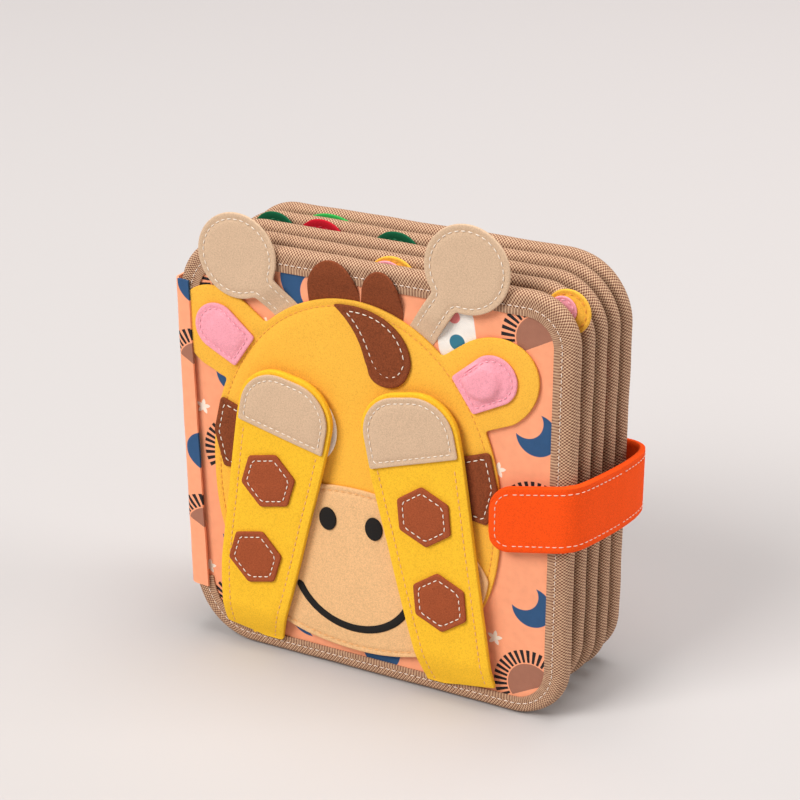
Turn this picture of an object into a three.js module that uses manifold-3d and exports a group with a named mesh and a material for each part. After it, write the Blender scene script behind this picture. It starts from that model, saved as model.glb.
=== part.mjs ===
// A soft felt activity book for a small child, closed and standing on the lower edges of its leaves.
// Millimetres. X runs from the spine to the fore edge, Y from the front cover to the back, Z up.
// Five leaves stand side by side: two printed covers and three pages, each bound with folded tape.
// A printed cloth strip joins them at the spine in five strips with a fold between each two.
// The front cover carries a felt giraffe whose arms fold down, and a strap closes the fore edge.

import * as THREE from 'three';
import { mergeVertices } from 'three/addons/utils/BufferGeometryUtils.js';
import Module from 'manifold-3d';

const wasm = await Module();
wasm.setup();

// Leaves
const leafWidth = 200;
const leafHeight = 205;
const leafCorner = 25;
const leafPitch = 14.5;
const leafCount = 5;
const clearance = 0.3;
const overrun = 10;
const weldDistance = 0.0001;

// Binding tape, folded round the edge of every leaf
const bindingThickness = 10;
const bindingFace = 11;
const bindingFoot = 8.5;
const bindingRound = 3.4;
const tapeFold = 1.7;

// Plies of a cover, from outside to inside, and the padded page
const facePly = 1.2;
const boardPly = 3.4;
const liningPly = 1.2;
const pagePly = 5.4;

// Printed cloth at the spine
const spinePly = 1.5;
const spineLip = 7;
const spineLipPly = 1.2;
const spineInset = 18;
const foldPlay = 0.15;

// Felt sheets
const felt = 1.5;
const thinFelt = 1.2;
const featureFelt = 0.6;

// The giraffe, about the upright through the middle of its face
const giraffeX = -7.5;
const headHalfWidth = 74;
const headCentre = 96;
const headRise = 91;
const headDrop = 80;
const jawFullness = 2.5;
const muzzleShift = 1.5;
const muzzleHalfWidth = 70;
const muzzleCentre = 54.5;
const muzzleHalfHeight = 42;
const nostrilX = 12;
const nostrilCentre = 78.7;
const nostrilHalfWidth = 4.5;
const nostrilHalfHeight = 5.8;
const smileShift = -1.8;
const smileCentre = 53;
const smileRadius = 28.5;
const smileHalfAngle = 66;
const smileTurn = 2;
const smileWidth = 4;
const earX = 67;
const earCentre = 160;
const earTurn = 35;
const earHalfLength = 25;
const earHalfWidth = 20.5;
const earRoot = 26;
const earRootUpper = 20;
const earRootLower = 15;
const innerEarX = 55;
const innerEarCentre = 153;
const innerEarLength = 29;
const innerEarRoot = 9.4;
const innerEarWidth = 11.6;
const hornRadius = 20.2;
const hornStem = 13.5;
const leftHorn = { x: -57.5, z: 199 };
const leftHornRoot = { x: -30.5, z: 173 };
const rightHorn = { x: 56.5, z: 211 };
const rightHornRoot = { x: 33.5, z: 176 };
const leftTuft = { x: -9.5, z: 186, halfWidth: 13, halfHeight: 18.5 };
const rightTuft = { x: 16, z: 185.5, halfWidth: 10.5, halfHeight: 17.8 };
const patchInner = 47.5;
const patchOuter = 68.2;
const patchBulge = 72.6;
const patchTopOuter = 128.5;
const patchTopInner = 121;
const patchMiddle = 111;
const patchFootOuter = 94;
const patchFootInner = 96;
const forelock = {
  tip: { x: -8.7, z: 184.4 },
  hollow: { x: 7.5, z: 172 },
  waist: { x: 6.5, z: 158 },
  foot: { x: 17.5, z: 149.5 },
  footBend: { x: 8.5, z: 150 },
  back: { x: 29.9, z: 162 },
  backBend: { x: 27.5, z: 149.5 },
  shoulder: { x: 29.5, z: 178 },
  crown: { x: 12.5, z: 188 },
};
const eyeX = 27;
const eyeCentre = 122.5;
const eyeRadius = 19.5;

// Arms, each from its sewn root to the top of its hoof
const armX = 56;
const armRootZ = 8.7;
const armPly = 3;
const armLength = 142;
const armLean = 11.3;
const armRootWidth = 34;
const armWaist = 40;
const armWaistAt = 32;
const armElbow = 43;
const armElbowAt = 70;
const armShoulder = 49;
const armShoulderAt = 113;
const armTopRound = 20;
const rootRoll = 3.8;
const hoofFrom = 110;
const hoofRim = 1.8;
const spotRadius = 14.8;
const spotTurn = 6;
const leftSpotShift = -2;
const lowerSpotAt = 44;
const upperSpotAt = 86;
const armPadWidth = 18;
const armPadHeight = 7;
const armPadAt = 129;

// Closing strap
const strapPly = 3;
const strapWidth = 34;
const strapCentre = 100;
const strapEndX = 62.5;
const strapEndRound = 15;
const strapBulge = 9;
const strapBaseLength = 54;
const strapBaseEnd = 1.5;
const strapRouteShares = [
  { out: 0, back: 0 },
  { out: 0.14, back: 0 },
  { out: 0.44, back: 0.09 },
  { out: 0.66, back: 0.35 },
  { out: 0.86, back: 0.68 },
  { out: 1, back: 0.9 },
  { out: 0.8, back: 0.98 },
  { out: 0.3, back: 1 },
  { out: 0, back: 1 },
];
const loopPadFrom = 71;
const loopPadTo = 88;
const loopPadHeight = 24;
const hookPadHeight = 18;

// Felt pieces on the inner pages
const animalHeadRadius = 42;
const animalHead = { x: 44.5, z: 150 };
const animalEarRadius = 15.5;
const animalEarX = 39.5;
const animalInnerEar = 10;
const tongueWidth = 22;
const tongueHeight = 52;
const leftTongueX = -71;
const middleTongueX = -46;
const rightTongueX = -7;
const hillRadius = 23;
const hillX = -50.5;

// Smoothness of curves
const arcSteps = 6;
const ovalSteps = 48;
const smallOvalSteps = 20;
const bevelSteps = 2;
const quarterTurn = Math.PI / 2;
const toRadians = Math.PI / 180;

// Where things come to lie, worked out from the sizes above
const leafLeft = -leafWidth / 2;
const leafRight = leafWidth / 2;
const coverStack = facePly + boardPly + liningPly + 2 * clearance;
const coverFace = -coverStack / 2;
const pageFace = -pagePly / 2;
const bindingFront = -bindingThickness / 2;
const windowRight = leafRight - bindingFace;
const windowLeft = leafLeft + bindingFace;
const windowTop = leafHeight - bindingFace;
const windowCorner = leafCorner - bindingFace;
const spineTop = leafHeight - spineInset;
const leafTuck = tapeFold + clearance;
const throughCut = 2 * overrun;
const middleLeaf = (leafCount - 1) / 2;
const frontCoverY = -middleLeaf * leafPitch;
const backCoverY = middleLeaf * leafPitch;

// Front surfaces of the felt layers on the front cover, each clear of the one behind it
const headBack = coverFace - clearance;
const headFront = headBack - felt;
const hornBack = Math.min(headFront, bindingFront) - clearance;
const featureBack = headFront - clearance;
const featureFront = featureBack - thinFelt;
const detailBack = featureFront - clearance;
const detailFront = detailBack - featureFelt;
const armBack = detailFront - clearance;
const armMiddle = armBack - armPly / 2;
const hoofBack = armBack - armPly - clearance;
const strapBack = featureFront - clearance;

// Turns a geometry into a solid that can be cut and joined.
function solidOf(geometry) {
  const bare = geometry.clone();
  bare.deleteAttribute('normal');
  bare.deleteAttribute('uv');
  const merged = mergeVertices(bare, weldDistance);
  return new wasm.Manifold(new wasm.Mesh({
    numProp: 3,
    vertProperties: merged.attributes.position.array,
    triVerts: new Uint32Array(merged.index.array),
  }));
}

// Turns a cut solid back into a geometry.
function geometryOf(solid) {
  const mesh = solid.getMesh();
  const geometry = new THREE.BufferGeometry();
  geometry.setAttribute('position', new THREE.BufferAttribute(mesh.vertProperties, 3));
  geometry.setIndex(new THREE.BufferAttribute(mesh.triVerts, 1));
  geometry.computeVertexNormals();
  return geometry;
}

// A closed outline through a list of points in X and Z.
function outline(points) {
  return new THREE.Shape(points.map((p) => new THREE.Vector2(p.x, p.z)));
}

// A rectangle from its low corner to its high corner, with rounded corners.
function roundedRectangle(left, low, right, high, radius) {
  const shape = new THREE.Shape();
  shape.moveTo(left + radius, low);
  shape.lineTo(right - radius, low);
  shape.absarc(right - radius, low + radius, radius, -quarterTurn, 0, false);
  shape.lineTo(right, high - radius);
  shape.absarc(right - radius, high - radius, radius, 0, quarterTurn, false);
  shape.lineTo(left + radius, high);
  shape.absarc(left + radius, high - radius, radius, quarterTurn, 2 * quarterTurn, false);
  shape.lineTo(left, low + radius);
  shape.absarc(left + radius, low + radius, radius, 2 * quarterTurn, 3 * quarterTurn, false);
  return shape;
}

// A rectangle with square corners.
function rectangle(left, low, right, high) {
  return outline([
    { x: left, z: low },
    { x: right, z: low },
    { x: right, z: high },
    { x: left, z: high },
  ]);
}

// An oval whose upper and lower halves have heights of their own; a fullness over 2 squares it.
function oval(x, z, halfWidth, rise, drop, lowerFullness = 2, steps = ovalSteps) {
  const points = [];
  for (let i = 0; i < steps; i += 1) {
    const angle = (i / steps) * 4 * quarterTurn;
    const across = Math.cos(angle);
    const up = Math.sin(angle);
    const power = up < 0 ? 2 / lowerFullness : 1;
    points.push({
      x: x + halfWidth * Math.sign(across) * Math.abs(across) ** power,
      z: z + (up < 0 ? drop : rise) * Math.sign(up) * Math.abs(up) ** power,
    });
  }
  return outline(points);
}

function circle(x, z, radius, steps = ovalSteps) {
  return oval(x, z, radius, radius, radius, 2, steps);
}

// A flat piece with the outline given. Its back lies at Y zero and its front faces minus Y.
function plate(shape, thickness, steps = arcSteps) {
  const geometry = new THREE.ExtrudeGeometry(shape, {
    depth: thickness,
    bevelEnabled: false,
    curveSegments: steps,
  });
  geometry.rotateX(quarterTurn);
  return geometry;
}

// A plan outline in X and Y, carried upwards.
function column(shape, height) {
  return new THREE.ExtrudeGeometry(shape, { depth: height, bevelEnabled: false, curveSegments: arcSteps });
}

function cut(geometry, ...tools) {
  let solid = solidOf(geometry);
  tools.forEach((tool) => {
    solid = solid.subtract(solidOf(tool));
  });
  return geometryOf(solid);
}

function join(geometry, ...others) {
  let solid = solidOf(geometry);
  others.forEach((other) => {
    solid = solid.add(solidOf(other));
  });
  return geometryOf(solid);
}

// Materials, by what each piece is made of
const colours = {
  tape: 0xc3a288,
  print: 0xf9a57e,
  board: 0xe8e2d6,
  lining: 0xf3d9b8,
  yellowFelt: 0xfdb93c,
  armFelt: 0xffc62c,
  muzzleFelt: 0xf0bd85,
  beigeFelt: 0xd9b791,
  pinkFelt: 0xfd9db8,
  brownFelt: 0x72371c,
  rustFelt: 0x9a4a2a,
  blackFelt: 0x1d1b1a,
  whiteFelt: 0xf4efe8,
  strapFelt: 0xfc5210,
  hookTape: 0xe9d9c4,
  pageBlue: 0x8fc1d6,
  pageCream: 0xf2dfb6,
  pageGreen: 0x7fb48c,
  greenFelt: 0x0f5a3a,
  redFelt: 0xc2182b,
  limeFelt: 0x2fa04a,
};

// One named piece of the book in its own material.
function piece(name, geometry, colour, y = 0) {
  const material = new THREE.MeshStandardMaterial({
    color: colours[colour],
    roughness: 0.95,
    metalness: 0,
  });
  const mesh = new THREE.Mesh(geometry, material);
  mesh.name = name;
  mesh.position.y = y;
  return mesh;
}

// The folded tape round a leaf: a soft-edged frame, slotted for the leaf and open at the spine.
function bindingGeometry(leafThickness) {
  const edge = roundedRectangle(leafLeft, 0, leafRight, leafHeight, leafCorner);
  const outer = new THREE.ExtrudeGeometry(edge, {
    depth: bindingThickness - 2 * bindingRound,
    bevelEnabled: true,
    bevelThickness: bindingRound,
    bevelSize: bindingRound,
    bevelOffset: -bindingRound,
    bevelSegments: bevelSteps,
    curveSegments: arcSteps,
  });
  outer.rotateX(quarterTurn);
  outer.translate(0, bindingThickness / 2 - bindingRound, 0);

  const windowShape = roundedRectangle(windowLeft, bindingFoot, windowRight, windowTop, windowCorner);
  const window = plate(windowShape, bindingThickness + throughCut);
  window.translate(0, bindingThickness / 2 + overrun, 0);

  const slotThickness = leafThickness + 2 * clearance;
  const slotShape = roundedRectangle(
    leafLeft + tapeFold,
    tapeFold,
    leafRight - tapeFold,
    leafHeight - tapeFold,
    leafCorner - tapeFold,
  );
  const slot = plate(slotShape, slotThickness);
  slot.translate(0, slotThickness / 2, 0);

  const mouthShape = rectangle(leafLeft - overrun, spineInset, windowLeft + clearance, spineTop);
  const mouth = plate(mouthShape, bindingThickness + throughCut);
  mouth.translate(0, bindingThickness / 2 + overrun, 0);
  return cut(outer, window, slot, mouth);
}

// One ply of a leaf: it fills the binding's slot and reaches the cloth at the spine.
function plyGeometry(thickness) {
  const body = plate(roundedRectangle(
    leafLeft + leafTuck,
    leafTuck,
    leafRight - leafTuck,
    leafHeight - leafTuck,
    leafCorner - leafTuck,
  ), thickness);
  const tongue = plate(rectangle(
    leafLeft + clearance,
    spineInset + clearance,
    0,
    spineTop - clearance,
  ), thickness);
  return join(body, tongue);
}

// The cloth strip at the back of one leaf; the strip of a cover turns the corner onto its face.
function spineGeometry(side) {
  const outerX = leafLeft - spinePly;
  const fold = leafPitch / 2 - foldPlay;
  const height = spineTop - spineInset - 2 * clearance;
  let shape;
  if (side === 0) {
    shape = new THREE.Shape([
      new THREE.Vector2(outerX, -fold),
      new THREE.Vector2(leafLeft, -fold),
      new THREE.Vector2(leafLeft, fold),
      new THREE.Vector2(outerX, fold),
    ]);
  } else {
    const lipBack = coverStack / 2 + clearance;
    const lipFront = lipBack + spineLipPly;
    const corners = [
      [outerX, -fold],
      [leafLeft, -fold],
      [leafLeft, lipBack],
      [leafLeft + spineLip, lipBack],
      [leafLeft + spineLip, lipFront],
      [outerX, lipFront],
    ].map(([x, y]) => new THREE.Vector2(x, side * y));
    shape = new THREE.Shape(side > 0 ? corners : corners.reverse());
  }
  const geometry = column(shape, height);
  geometry.translate(0, 0, spineInset + clearance);
  return geometry;
}

// Outlines of the giraffe
const headShape = oval(giraffeX, headCentre, headHalfWidth, headRise, headDrop, jawFullness);
const headKeepOut = oval(
  giraffeX,
  headCentre,
  headHalfWidth + clearance,
  headRise + clearance,
  headDrop + clearance,
  jawFullness,
);

// Cuts away what lies behind the head, because those pieces are sewn in at its edge.
function tuckedAtHead(geometry) {
  const tool = plate(headKeepOut, throughCut);
  tool.translate(0, overrun, 0);
  return cut(geometry, tool);
}

function hornGeometry(top, root) {
  const reach = Math.hypot(top.x - root.x, top.z - root.z);
  const disc = plate(circle(0, 0, hornRadius), felt);
  const stem = plate(rectangle(-hornStem / 2, -reach - overrun, hornStem / 2, 0), felt);
  const horn = join(disc, stem);
  horn.rotateY(Math.atan2(top.x - root.x, top.z - root.z));
  horn.translate(giraffeX + top.x, 0, top.z);
  return tuckedAtHead(horn);
}

// Carries an outline from an ear's own axis, pointing outwards and up, to its side of the face.
function earOutline(points, x, z, side) {
  const turn = earTurn * toRadians;
  const placed = points.map((p) => ({
    x: giraffeX + side * (x + p.x * Math.cos(turn) - p.z * Math.sin(turn)),
    z: z + p.x * Math.sin(turn) + p.z * Math.cos(turn),
  }));
  return outline(side > 0 ? placed : placed.reverse());
}

// The end of an ear: half an oval, from its lower side round to its upper side.
function halfOval(from, halfLength, halfWidth) {
  const steps = ovalSteps / 2;
  return Array.from({ length: steps + 1 }, (unused, i) => {
    const angle = (i / steps) * 2 * quarterTurn - quarterTurn;
    return { x: from + halfLength * Math.cos(angle), z: halfWidth * Math.sin(angle) };
  });
}

function earGeometry(side) {
  const points = [
    ...halfOval(0, earHalfLength, earHalfWidth),
    { x: -earRoot, z: earRootUpper },
    { x: -earRoot, z: -earRootLower },
  ];
  return plate(earOutline(points, earX, earCentre, side), felt);
}

function innerEarGeometry(side) {
  const points = [
    ...halfOval(innerEarLength - innerEarWidth, innerEarWidth, innerEarWidth),
    { x: 0, z: innerEarRoot },
    { x: 0, z: -innerEarRoot },
  ];
  return plate(earOutline(points, innerEarX, innerEarCentre, side), thinFelt);
}

// The head and both ears are one sheet of felt, cut straight where it meets the cloth of the spine.
function headGeometry() {
  const lipEdge = leafLeft + spineLip + clearance;
  const lip = plate(rectangle(leafLeft - throughCut, 0, lipEdge, leafHeight), throughCut);
  lip.translate(0, overrun, 0);
  return cut(join(plate(headShape, felt), earGeometry(-1), earGeometry(1)), lip);
}

function tuftGeometry(tuft) {
  return tuckedAtHead(plate(
    oval(giraffeX + tuft.x, tuft.z, tuft.halfWidth, tuft.halfHeight, tuft.halfHeight),
    felt,
  ));
}

function forelockGeometry() {
  const f = forelock;
  const shape = new THREE.Shape();
  shape.moveTo(giraffeX + f.tip.x, f.tip.z);
  shape.bezierCurveTo(
    giraffeX + f.hollow.x,
    f.hollow.z,
    giraffeX + f.waist.x,
    f.waist.z,
    giraffeX + f.footBend.x,
    f.waist.z,
  );
  shape.quadraticCurveTo(giraffeX + f.footBend.x, f.footBend.z, giraffeX + f.foot.x, f.foot.z);
  shape.quadraticCurveTo(giraffeX + f.backBend.x, f.backBend.z, giraffeX + f.back.x, f.back.z);
  shape.bezierCurveTo(
    giraffeX + f.shoulder.x,
    f.shoulder.z,
    giraffeX + f.crown.x,
    f.crown.z,
    giraffeX + f.tip.x,
    f.tip.z,
  );
  return plate(shape, thinFelt);
}

function patchGeometry(side) {
  const points = [
    { x: patchInner, z: patchTopInner },
    { x: patchInner, z: patchFootInner },
    { x: patchOuter, z: patchFootOuter },
    { x: patchBulge, z: patchMiddle },
    { x: patchOuter, z: patchTopOuter },
  ].map((p) => ({ x: giraffeX + side * p.x, z: p.z }));
  return plate(outline(side > 0 ? points : points.reverse()), thinFelt);
}

// A band bent along an arc, with round ends.
function smileGeometry() {
  const shape = new THREE.Shape();
  const lowest = -quarterTurn - smileTurn * toRadians;
  const from = lowest - smileHalfAngle * toRadians;
  const to = lowest + smileHalfAngle * toRadians;
  const half = smileWidth / 2;
  const x = giraffeX + smileShift;
  const end = (angle) => ({
    x: x + smileRadius * Math.cos(angle),
    z: smileCentre + smileRadius * Math.sin(angle),
  });
  shape.absarc(x, smileCentre, smileRadius + half, from, to, false);
  shape.absarc(end(to).x, end(to).z, half, to, to + 2 * quarterTurn, false);
  shape.absarc(x, smileCentre, smileRadius - half, to, from, true);
  shape.absarc(end(from).x, end(from).z, half, from + 2 * quarterTurn, from + 4 * quarterTurn, false);
  return plate(shape, featureFelt, arcSteps * 2);
}

// Half the width of an arm at a distance from its root, through four chosen widths.
const armWidthCurve = new THREE.SplineCurve([
  new THREE.Vector2(0, armRootWidth / 2),
  new THREE.Vector2(armWaistAt, armWaist / 2),
  new THREE.Vector2(armElbowAt, armElbow / 2),
  new THREE.Vector2(armShoulderAt, armShoulder / 2),
]);

// The arm's outline, upright about its own root, drawn in by a margin and cut off below a height.
function armShape(margin, from) {
  const right = [];
  const steps = arcSteps * 2;
  for (let i = 0; i <= steps; i += 1) {
    const point = armWidthCurve.getPoint(i / steps);
    if (point.x >= from) {
      right.push({ x: point.y - margin, z: point.x });
    }
  }
  if (from > 0) {
    right.unshift({ x: armShoulder / 2 - margin, z: from });
  }
  const radius = armTopRound - margin;
  const cornerX = armShoulder / 2 - armTopRound;
  const cornerZ = armLength - armTopRound;
  for (let i = 0; i <= arcSteps; i += 1) {
    const angle = (i / arcSteps) * quarterTurn;
    right.push({ x: cornerX + radius * Math.cos(angle), z: cornerZ + radius * Math.sin(angle) });
  }
  const left = right.map((p) => ({ x: -p.x, z: p.z })).reverse();
  return outline([...right, ...left]);
}

// An arm leans inwards and starts level at its root, where a roll of cloth is its hinge.
function armGeometry(side) {
  const arm = plate(armShape(0, 0), armPly);
  arm.translate(0, armPly / 2, 0);
  arm.rotateY(-side * armLean * toRadians);
  const below = plate(rectangle(-leafWidth, -leafHeight, leafWidth, 0), throughCut);
  below.translate(0, overrun, 0);
  const roll = new THREE.CylinderGeometry(rootRoll, rootRoll, armRootWidth, arcSteps * 2);
  roll.rotateZ(quarterTurn);
  return join(cut(arm, below), roll);
}

function hexagon(x, z) {
  const points = [];
  for (let i = 0; i < 6; i += 1) {
    const angle = (i / 6) * 4 * quarterTurn + spotTurn * toRadians;
    points.push({ x: x + spotRadius * Math.sin(angle), z: z + spotRadius * Math.cos(angle) });
  }
  return outline(points.reverse());
}

// The arm with all that is sewn on it, about the hinge at its root.
function armPieces(name, side) {
  const lean = -side * armLean * toRadians;
  const group = new THREE.Group();
  group.position.set(giraffeX + side * armX, armMiddle, armRootZ);
  const leaning = (geometry) => geometry.rotateY(lean);
  const frontOfArm = hoofBack - armMiddle;
  const spotX = side < 0 ? leftSpotShift : 0;
  const spot = (along) => leaning(plate(hexagon(spotX, along), thinFelt));
  const padBack = detailBack - armMiddle;
  const padShape = rectangle(
    -armPadWidth / 2,
    armPadAt,
    armPadWidth / 2,
    armPadAt + armPadHeight,
  );
  group.add(
    piece(`${name}_arm`, armGeometry(side), 'armFelt'),
    piece(`${name}_hoof`, leaning(plate(armShape(hoofRim, hoofFrom), thinFelt)), 'beigeFelt', frontOfArm),
    piece(`${name}_upper_spot`, spot(upperSpotAt), 'rustFelt', frontOfArm),
    piece(`${name}_lower_spot`, spot(lowerSpotAt), 'rustFelt', frontOfArm),
    piece(`${name}_hook_pad`, leaning(plate(padShape, featureFelt)), 'hookTape', padBack),
  );
  return group;
}

// A band of cloth seen from above: a curve in X and Y with a thickness, carried upwards.
function bandGeometry(curve, thickness, width, steps) {
  const outer = [];
  const inner = [];
  for (let i = 0; i <= steps; i += 1) {
    const point = curve.getPointAt(i / steps);
    const along = curve.getTangentAt(i / steps);
    const across = new THREE.Vector2(along.y, -along.x).multiplyScalar(thickness / 2);
    outer.push(point.clone().add(across));
    inner.push(point.clone().sub(across));
  }
  return column(new THREE.Shape([...outer, ...inner.reverse()]), width);
}

// Depths of the strap, from the middle plane of the book
const strapFrontY = frontCoverY + strapBack - strapPly / 2;
const strapRearY = backCoverY + bindingThickness / 2 + clearance + strapPly / 2;
const strapHingeX = leafRight - strapBaseEnd;
const strapLow = strapCentre - strapWidth / 2;

// The strap leaves the front cover in a wide curve and folds tightly round the back cover.
function strapSideGeometry() {
  const from = new THREE.Vector2(strapHingeX + clearance, strapFrontY);
  const out = leafRight + strapBulge + strapPly / 2 - from.x;
  const back = strapRearY - strapFrontY;
  const route = new THREE.SplineCurve(strapRouteShares.map((share) => new THREE.Vector2(
    from.x + share.out * out,
    from.y + share.back * back,
  )));
  const band = bandGeometry(route, strapPly, strapWidth, arcSteps * 4);
  band.translate(0, 0, strapLow);
  return band;
}

function strapTipGeometry() {
  const right = strapHingeX - clearance;
  const high = strapLow + strapWidth;
  const radius = strapEndRound;
  const x = strapEndX + radius;
  const shape = new THREE.Shape();
  shape.moveTo(x, strapLow);
  shape.lineTo(right, strapLow);
  shape.lineTo(right, high);
  shape.lineTo(x, high);
  shape.absarc(x, high - radius, radius, quarterTurn, 2 * quarterTurn, false);
  shape.lineTo(strapEndX, strapLow + radius);
  shape.absarc(x, strapLow + radius, radius, 2 * quarterTurn, 3 * quarterTurn, false);
  return plate(shape, strapPly);
}

// A tongue of felt with a round top that reaches the top of its leaf.
function tongueGeometry(x) {
  const radius = tongueWidth / 2;
  const low = leafHeight - tongueHeight;
  return plate(roundedRectangle(x - radius, low, x + radius, leafHeight, radius - clearance), felt);
}

const book = new THREE.Group();

function leafGroup(name, index) {
  const group = new THREE.Group();
  group.name = name;
  group.position.y = (index - middleLeaf) * leafPitch;
  book.add(group);
  return group;
}

// Front cover: printed face, board, lining, tape, and its strip of the spine
const frontCover = leafGroup('front_cover_leaf', 0);
const backCover = leafGroup('back_cover_leaf', leafCount - 1);
const faceDepth = coverStack / 2;
const boardDepth = boardPly / 2;
frontCover.add(
  piece('front_cover_face', plyGeometry(facePly), 'print', -faceDepth + facePly),
  piece('front_cover_board', plyGeometry(boardPly), 'board', boardDepth),
  piece('front_cover_lining', plyGeometry(liningPly), 'lining', faceDepth),
  piece('front_cover_binding', bindingGeometry(coverStack), 'tape'),
  piece('front_cover_spine', spineGeometry(-1), 'print'),
);
backCover.add(
  piece('back_cover_lining', plyGeometry(liningPly), 'lining', -faceDepth + liningPly),
  piece('back_cover_board', plyGeometry(boardPly), 'board', boardDepth),
  piece('back_cover_face', plyGeometry(facePly), 'print', faceDepth),
  piece('back_cover_binding', bindingGeometry(coverStack), 'tape'),
  piece('back_cover_spine', spineGeometry(1), 'print'),
);

// Pages: a padded panel, its tape and its strip of the spine
const pageColours = ['pageBlue', 'pageCream', 'pageGreen'];
const pages = pageColours.map((colour, i) => {
  const name = `page_${i + 1}`;
  const group = leafGroup(`${name}_leaf`, i + 1);
  group.add(
    piece(`${name}_panel`, plyGeometry(pagePly), colour, pagePly / 2),
    piece(`${name}_binding`, bindingGeometry(pagePly), 'tape'),
    piece(`${name}_spine`, spineGeometry(0), 'print'),
  );
  return group;
});

// The giraffe on the front cover
frontCover.add(
  piece('giraffe_head', headGeometry(), 'yellowFelt', headBack),
  piece('giraffe_muzzle', plate(
    oval(giraffeX + muzzleShift, muzzleCentre, muzzleHalfWidth, muzzleHalfHeight, muzzleHalfHeight),
    thinFelt,
  ), 'muzzleFelt', featureBack),
  piece('giraffe_smile', smileGeometry(), 'blackFelt', detailBack),
  piece('giraffe_forelock', forelockGeometry(), 'brownFelt', featureBack),
  piece('left_horn', hornGeometry(leftHorn, leftHornRoot), 'beigeFelt', hornBack),
  piece('right_horn', hornGeometry(rightHorn, rightHornRoot), 'beigeFelt', hornBack),
  piece('left_mane_tuft', tuftGeometry(leftTuft), 'brownFelt', hornBack),
  piece('right_mane_tuft', tuftGeometry(rightTuft), 'brownFelt', hornBack),
);
[['left', -1], ['right', 1]].forEach(([name, side]) => {
  const nostril = oval(
    giraffeX + side * nostrilX,
    nostrilCentre,
    nostrilHalfWidth,
    nostrilHalfHeight,
    nostrilHalfHeight,
    2,
    smallOvalSteps,
  );
  const eyeAt = giraffeX + side * eyeX;
  frontCover.add(
    piece(`${name}_inner_ear`, innerEarGeometry(side), 'pinkFelt', featureBack),
    piece(`${name}_side_patch`, patchGeometry(side), 'brownFelt', featureBack),
    piece(`${name}_nostril`, plate(nostril, featureFelt), 'blackFelt', detailBack),
    piece(`${name}_eye`, plate(circle(eyeAt, eyeCentre, eyeRadius), thinFelt), 'whiteFelt', featureBack),
    armPieces(name, side),
  );
});

// Closing strap: its sewn base, the part that bends round the fore edge, and the tip
const baseShape = rectangle(
  strapHingeX - clearance - strapBaseLength,
  strapLow,
  strapHingeX - clearance,
  strapLow + strapWidth,
);
function fasteningPad(height, thickness) {
  const low = strapCentre - height / 2;
  return plate(rectangle(loopPadFrom, low, loopPadTo, low + height), thickness);
}

book.add(
  piece('strap_base', plate(baseShape, strapPly), 'strapFelt', strapRearY + strapPly / 2),
  piece('strap_side', strapSideGeometry(), 'strapFelt'),
  piece('strap_tip', strapTipGeometry(), 'strapFelt', strapFrontY + strapPly / 2),
  piece('strap_loop_pad', fasteningPad(loopPadHeight, felt), 'hookTape', frontCoverY + headBack),
  piece('strap_hook_pad', fasteningPad(hookPadHeight, thinFelt), 'hookTape', frontCoverY + featureBack),
);

// Felt pieces on the inner pages, whose tops show above the leaves in front of them
const onBinding = bindingFront - clearance;
const animalEarZ = leafHeight - animalEarRadius;
const animalHeadGap = plate(
  circle(animalHead.x, animalHead.z, animalHeadRadius + clearance),
  throughCut,
);
animalHeadGap.translate(0, overrun, 0);
pages[0].add(piece(
  'page_1_animal_head',
  plate(circle(animalHead.x, animalHead.z, animalHeadRadius), felt),
  'yellowFelt',
  pageFace - clearance,
));
[['left', -1], ['right', 1]].forEach(([name, side]) => {
  const ear = plate(circle(animalHead.x + side * animalEarX, animalEarZ, animalEarRadius), felt);
  const inner = plate(circle(animalHead.x + side * animalEarX, animalEarZ, animalInnerEar), featureFelt);
  pages[0].add(
    piece(`page_1_animal_${name}_ear`, cut(ear, animalHeadGap), 'yellowFelt', onBinding),
    piece(`page_1_animal_${name}_inner_ear`, inner, 'pinkFelt', onBinding - felt - clearance),
  );
});
pages[2].add(
  piece('page_3_left_tongue', tongueGeometry(leftTongueX), 'greenFelt', onBinding),
  piece('page_3_middle_tongue', tongueGeometry(middleTongueX), 'redFelt', onBinding),
  piece('page_3_right_tongue', tongueGeometry(rightTongueX), 'greenFelt', onBinding),
);
backCover.add(piece(
  'back_cover_hill',
  plate(circle(hillX, leafHeight - hillRadius, hillRadius), felt),
  'limeFelt',
  onBinding,
));

// The origin lies under the middle of the whole book, at the height of its lower edges.
book.updateMatrixWorld(true);
const middle = new THREE.Box3().setFromObject(book).getCenter(new THREE.Vector3());
const part = new THREE.Group();
part.name = 'activity_book';
part.add(book);
book.position.set(-middle.x, -middle.y, 0);

export default part;
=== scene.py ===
# %% [markdown]
# # A soft activity book in felt, cotton and braid
# The book stands closed on the lower edges of its five leaves. Two printed covers and three padded
# pages are bound with folded braid. A felt giraffe covers its eyes on the front cover, and an orange
# felt strap goes round the fore edge. Everything here is sheet goods: cut, layered and sewn.
# The solids of the model come first, as a fixed frame. Each cloth piece below then takes the place
# of one solid or more, and most of them ride on the body that carries them; the arm flaps with their
# stitches, the strap and the spine's folds stay fixed in the frame.

import math

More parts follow.
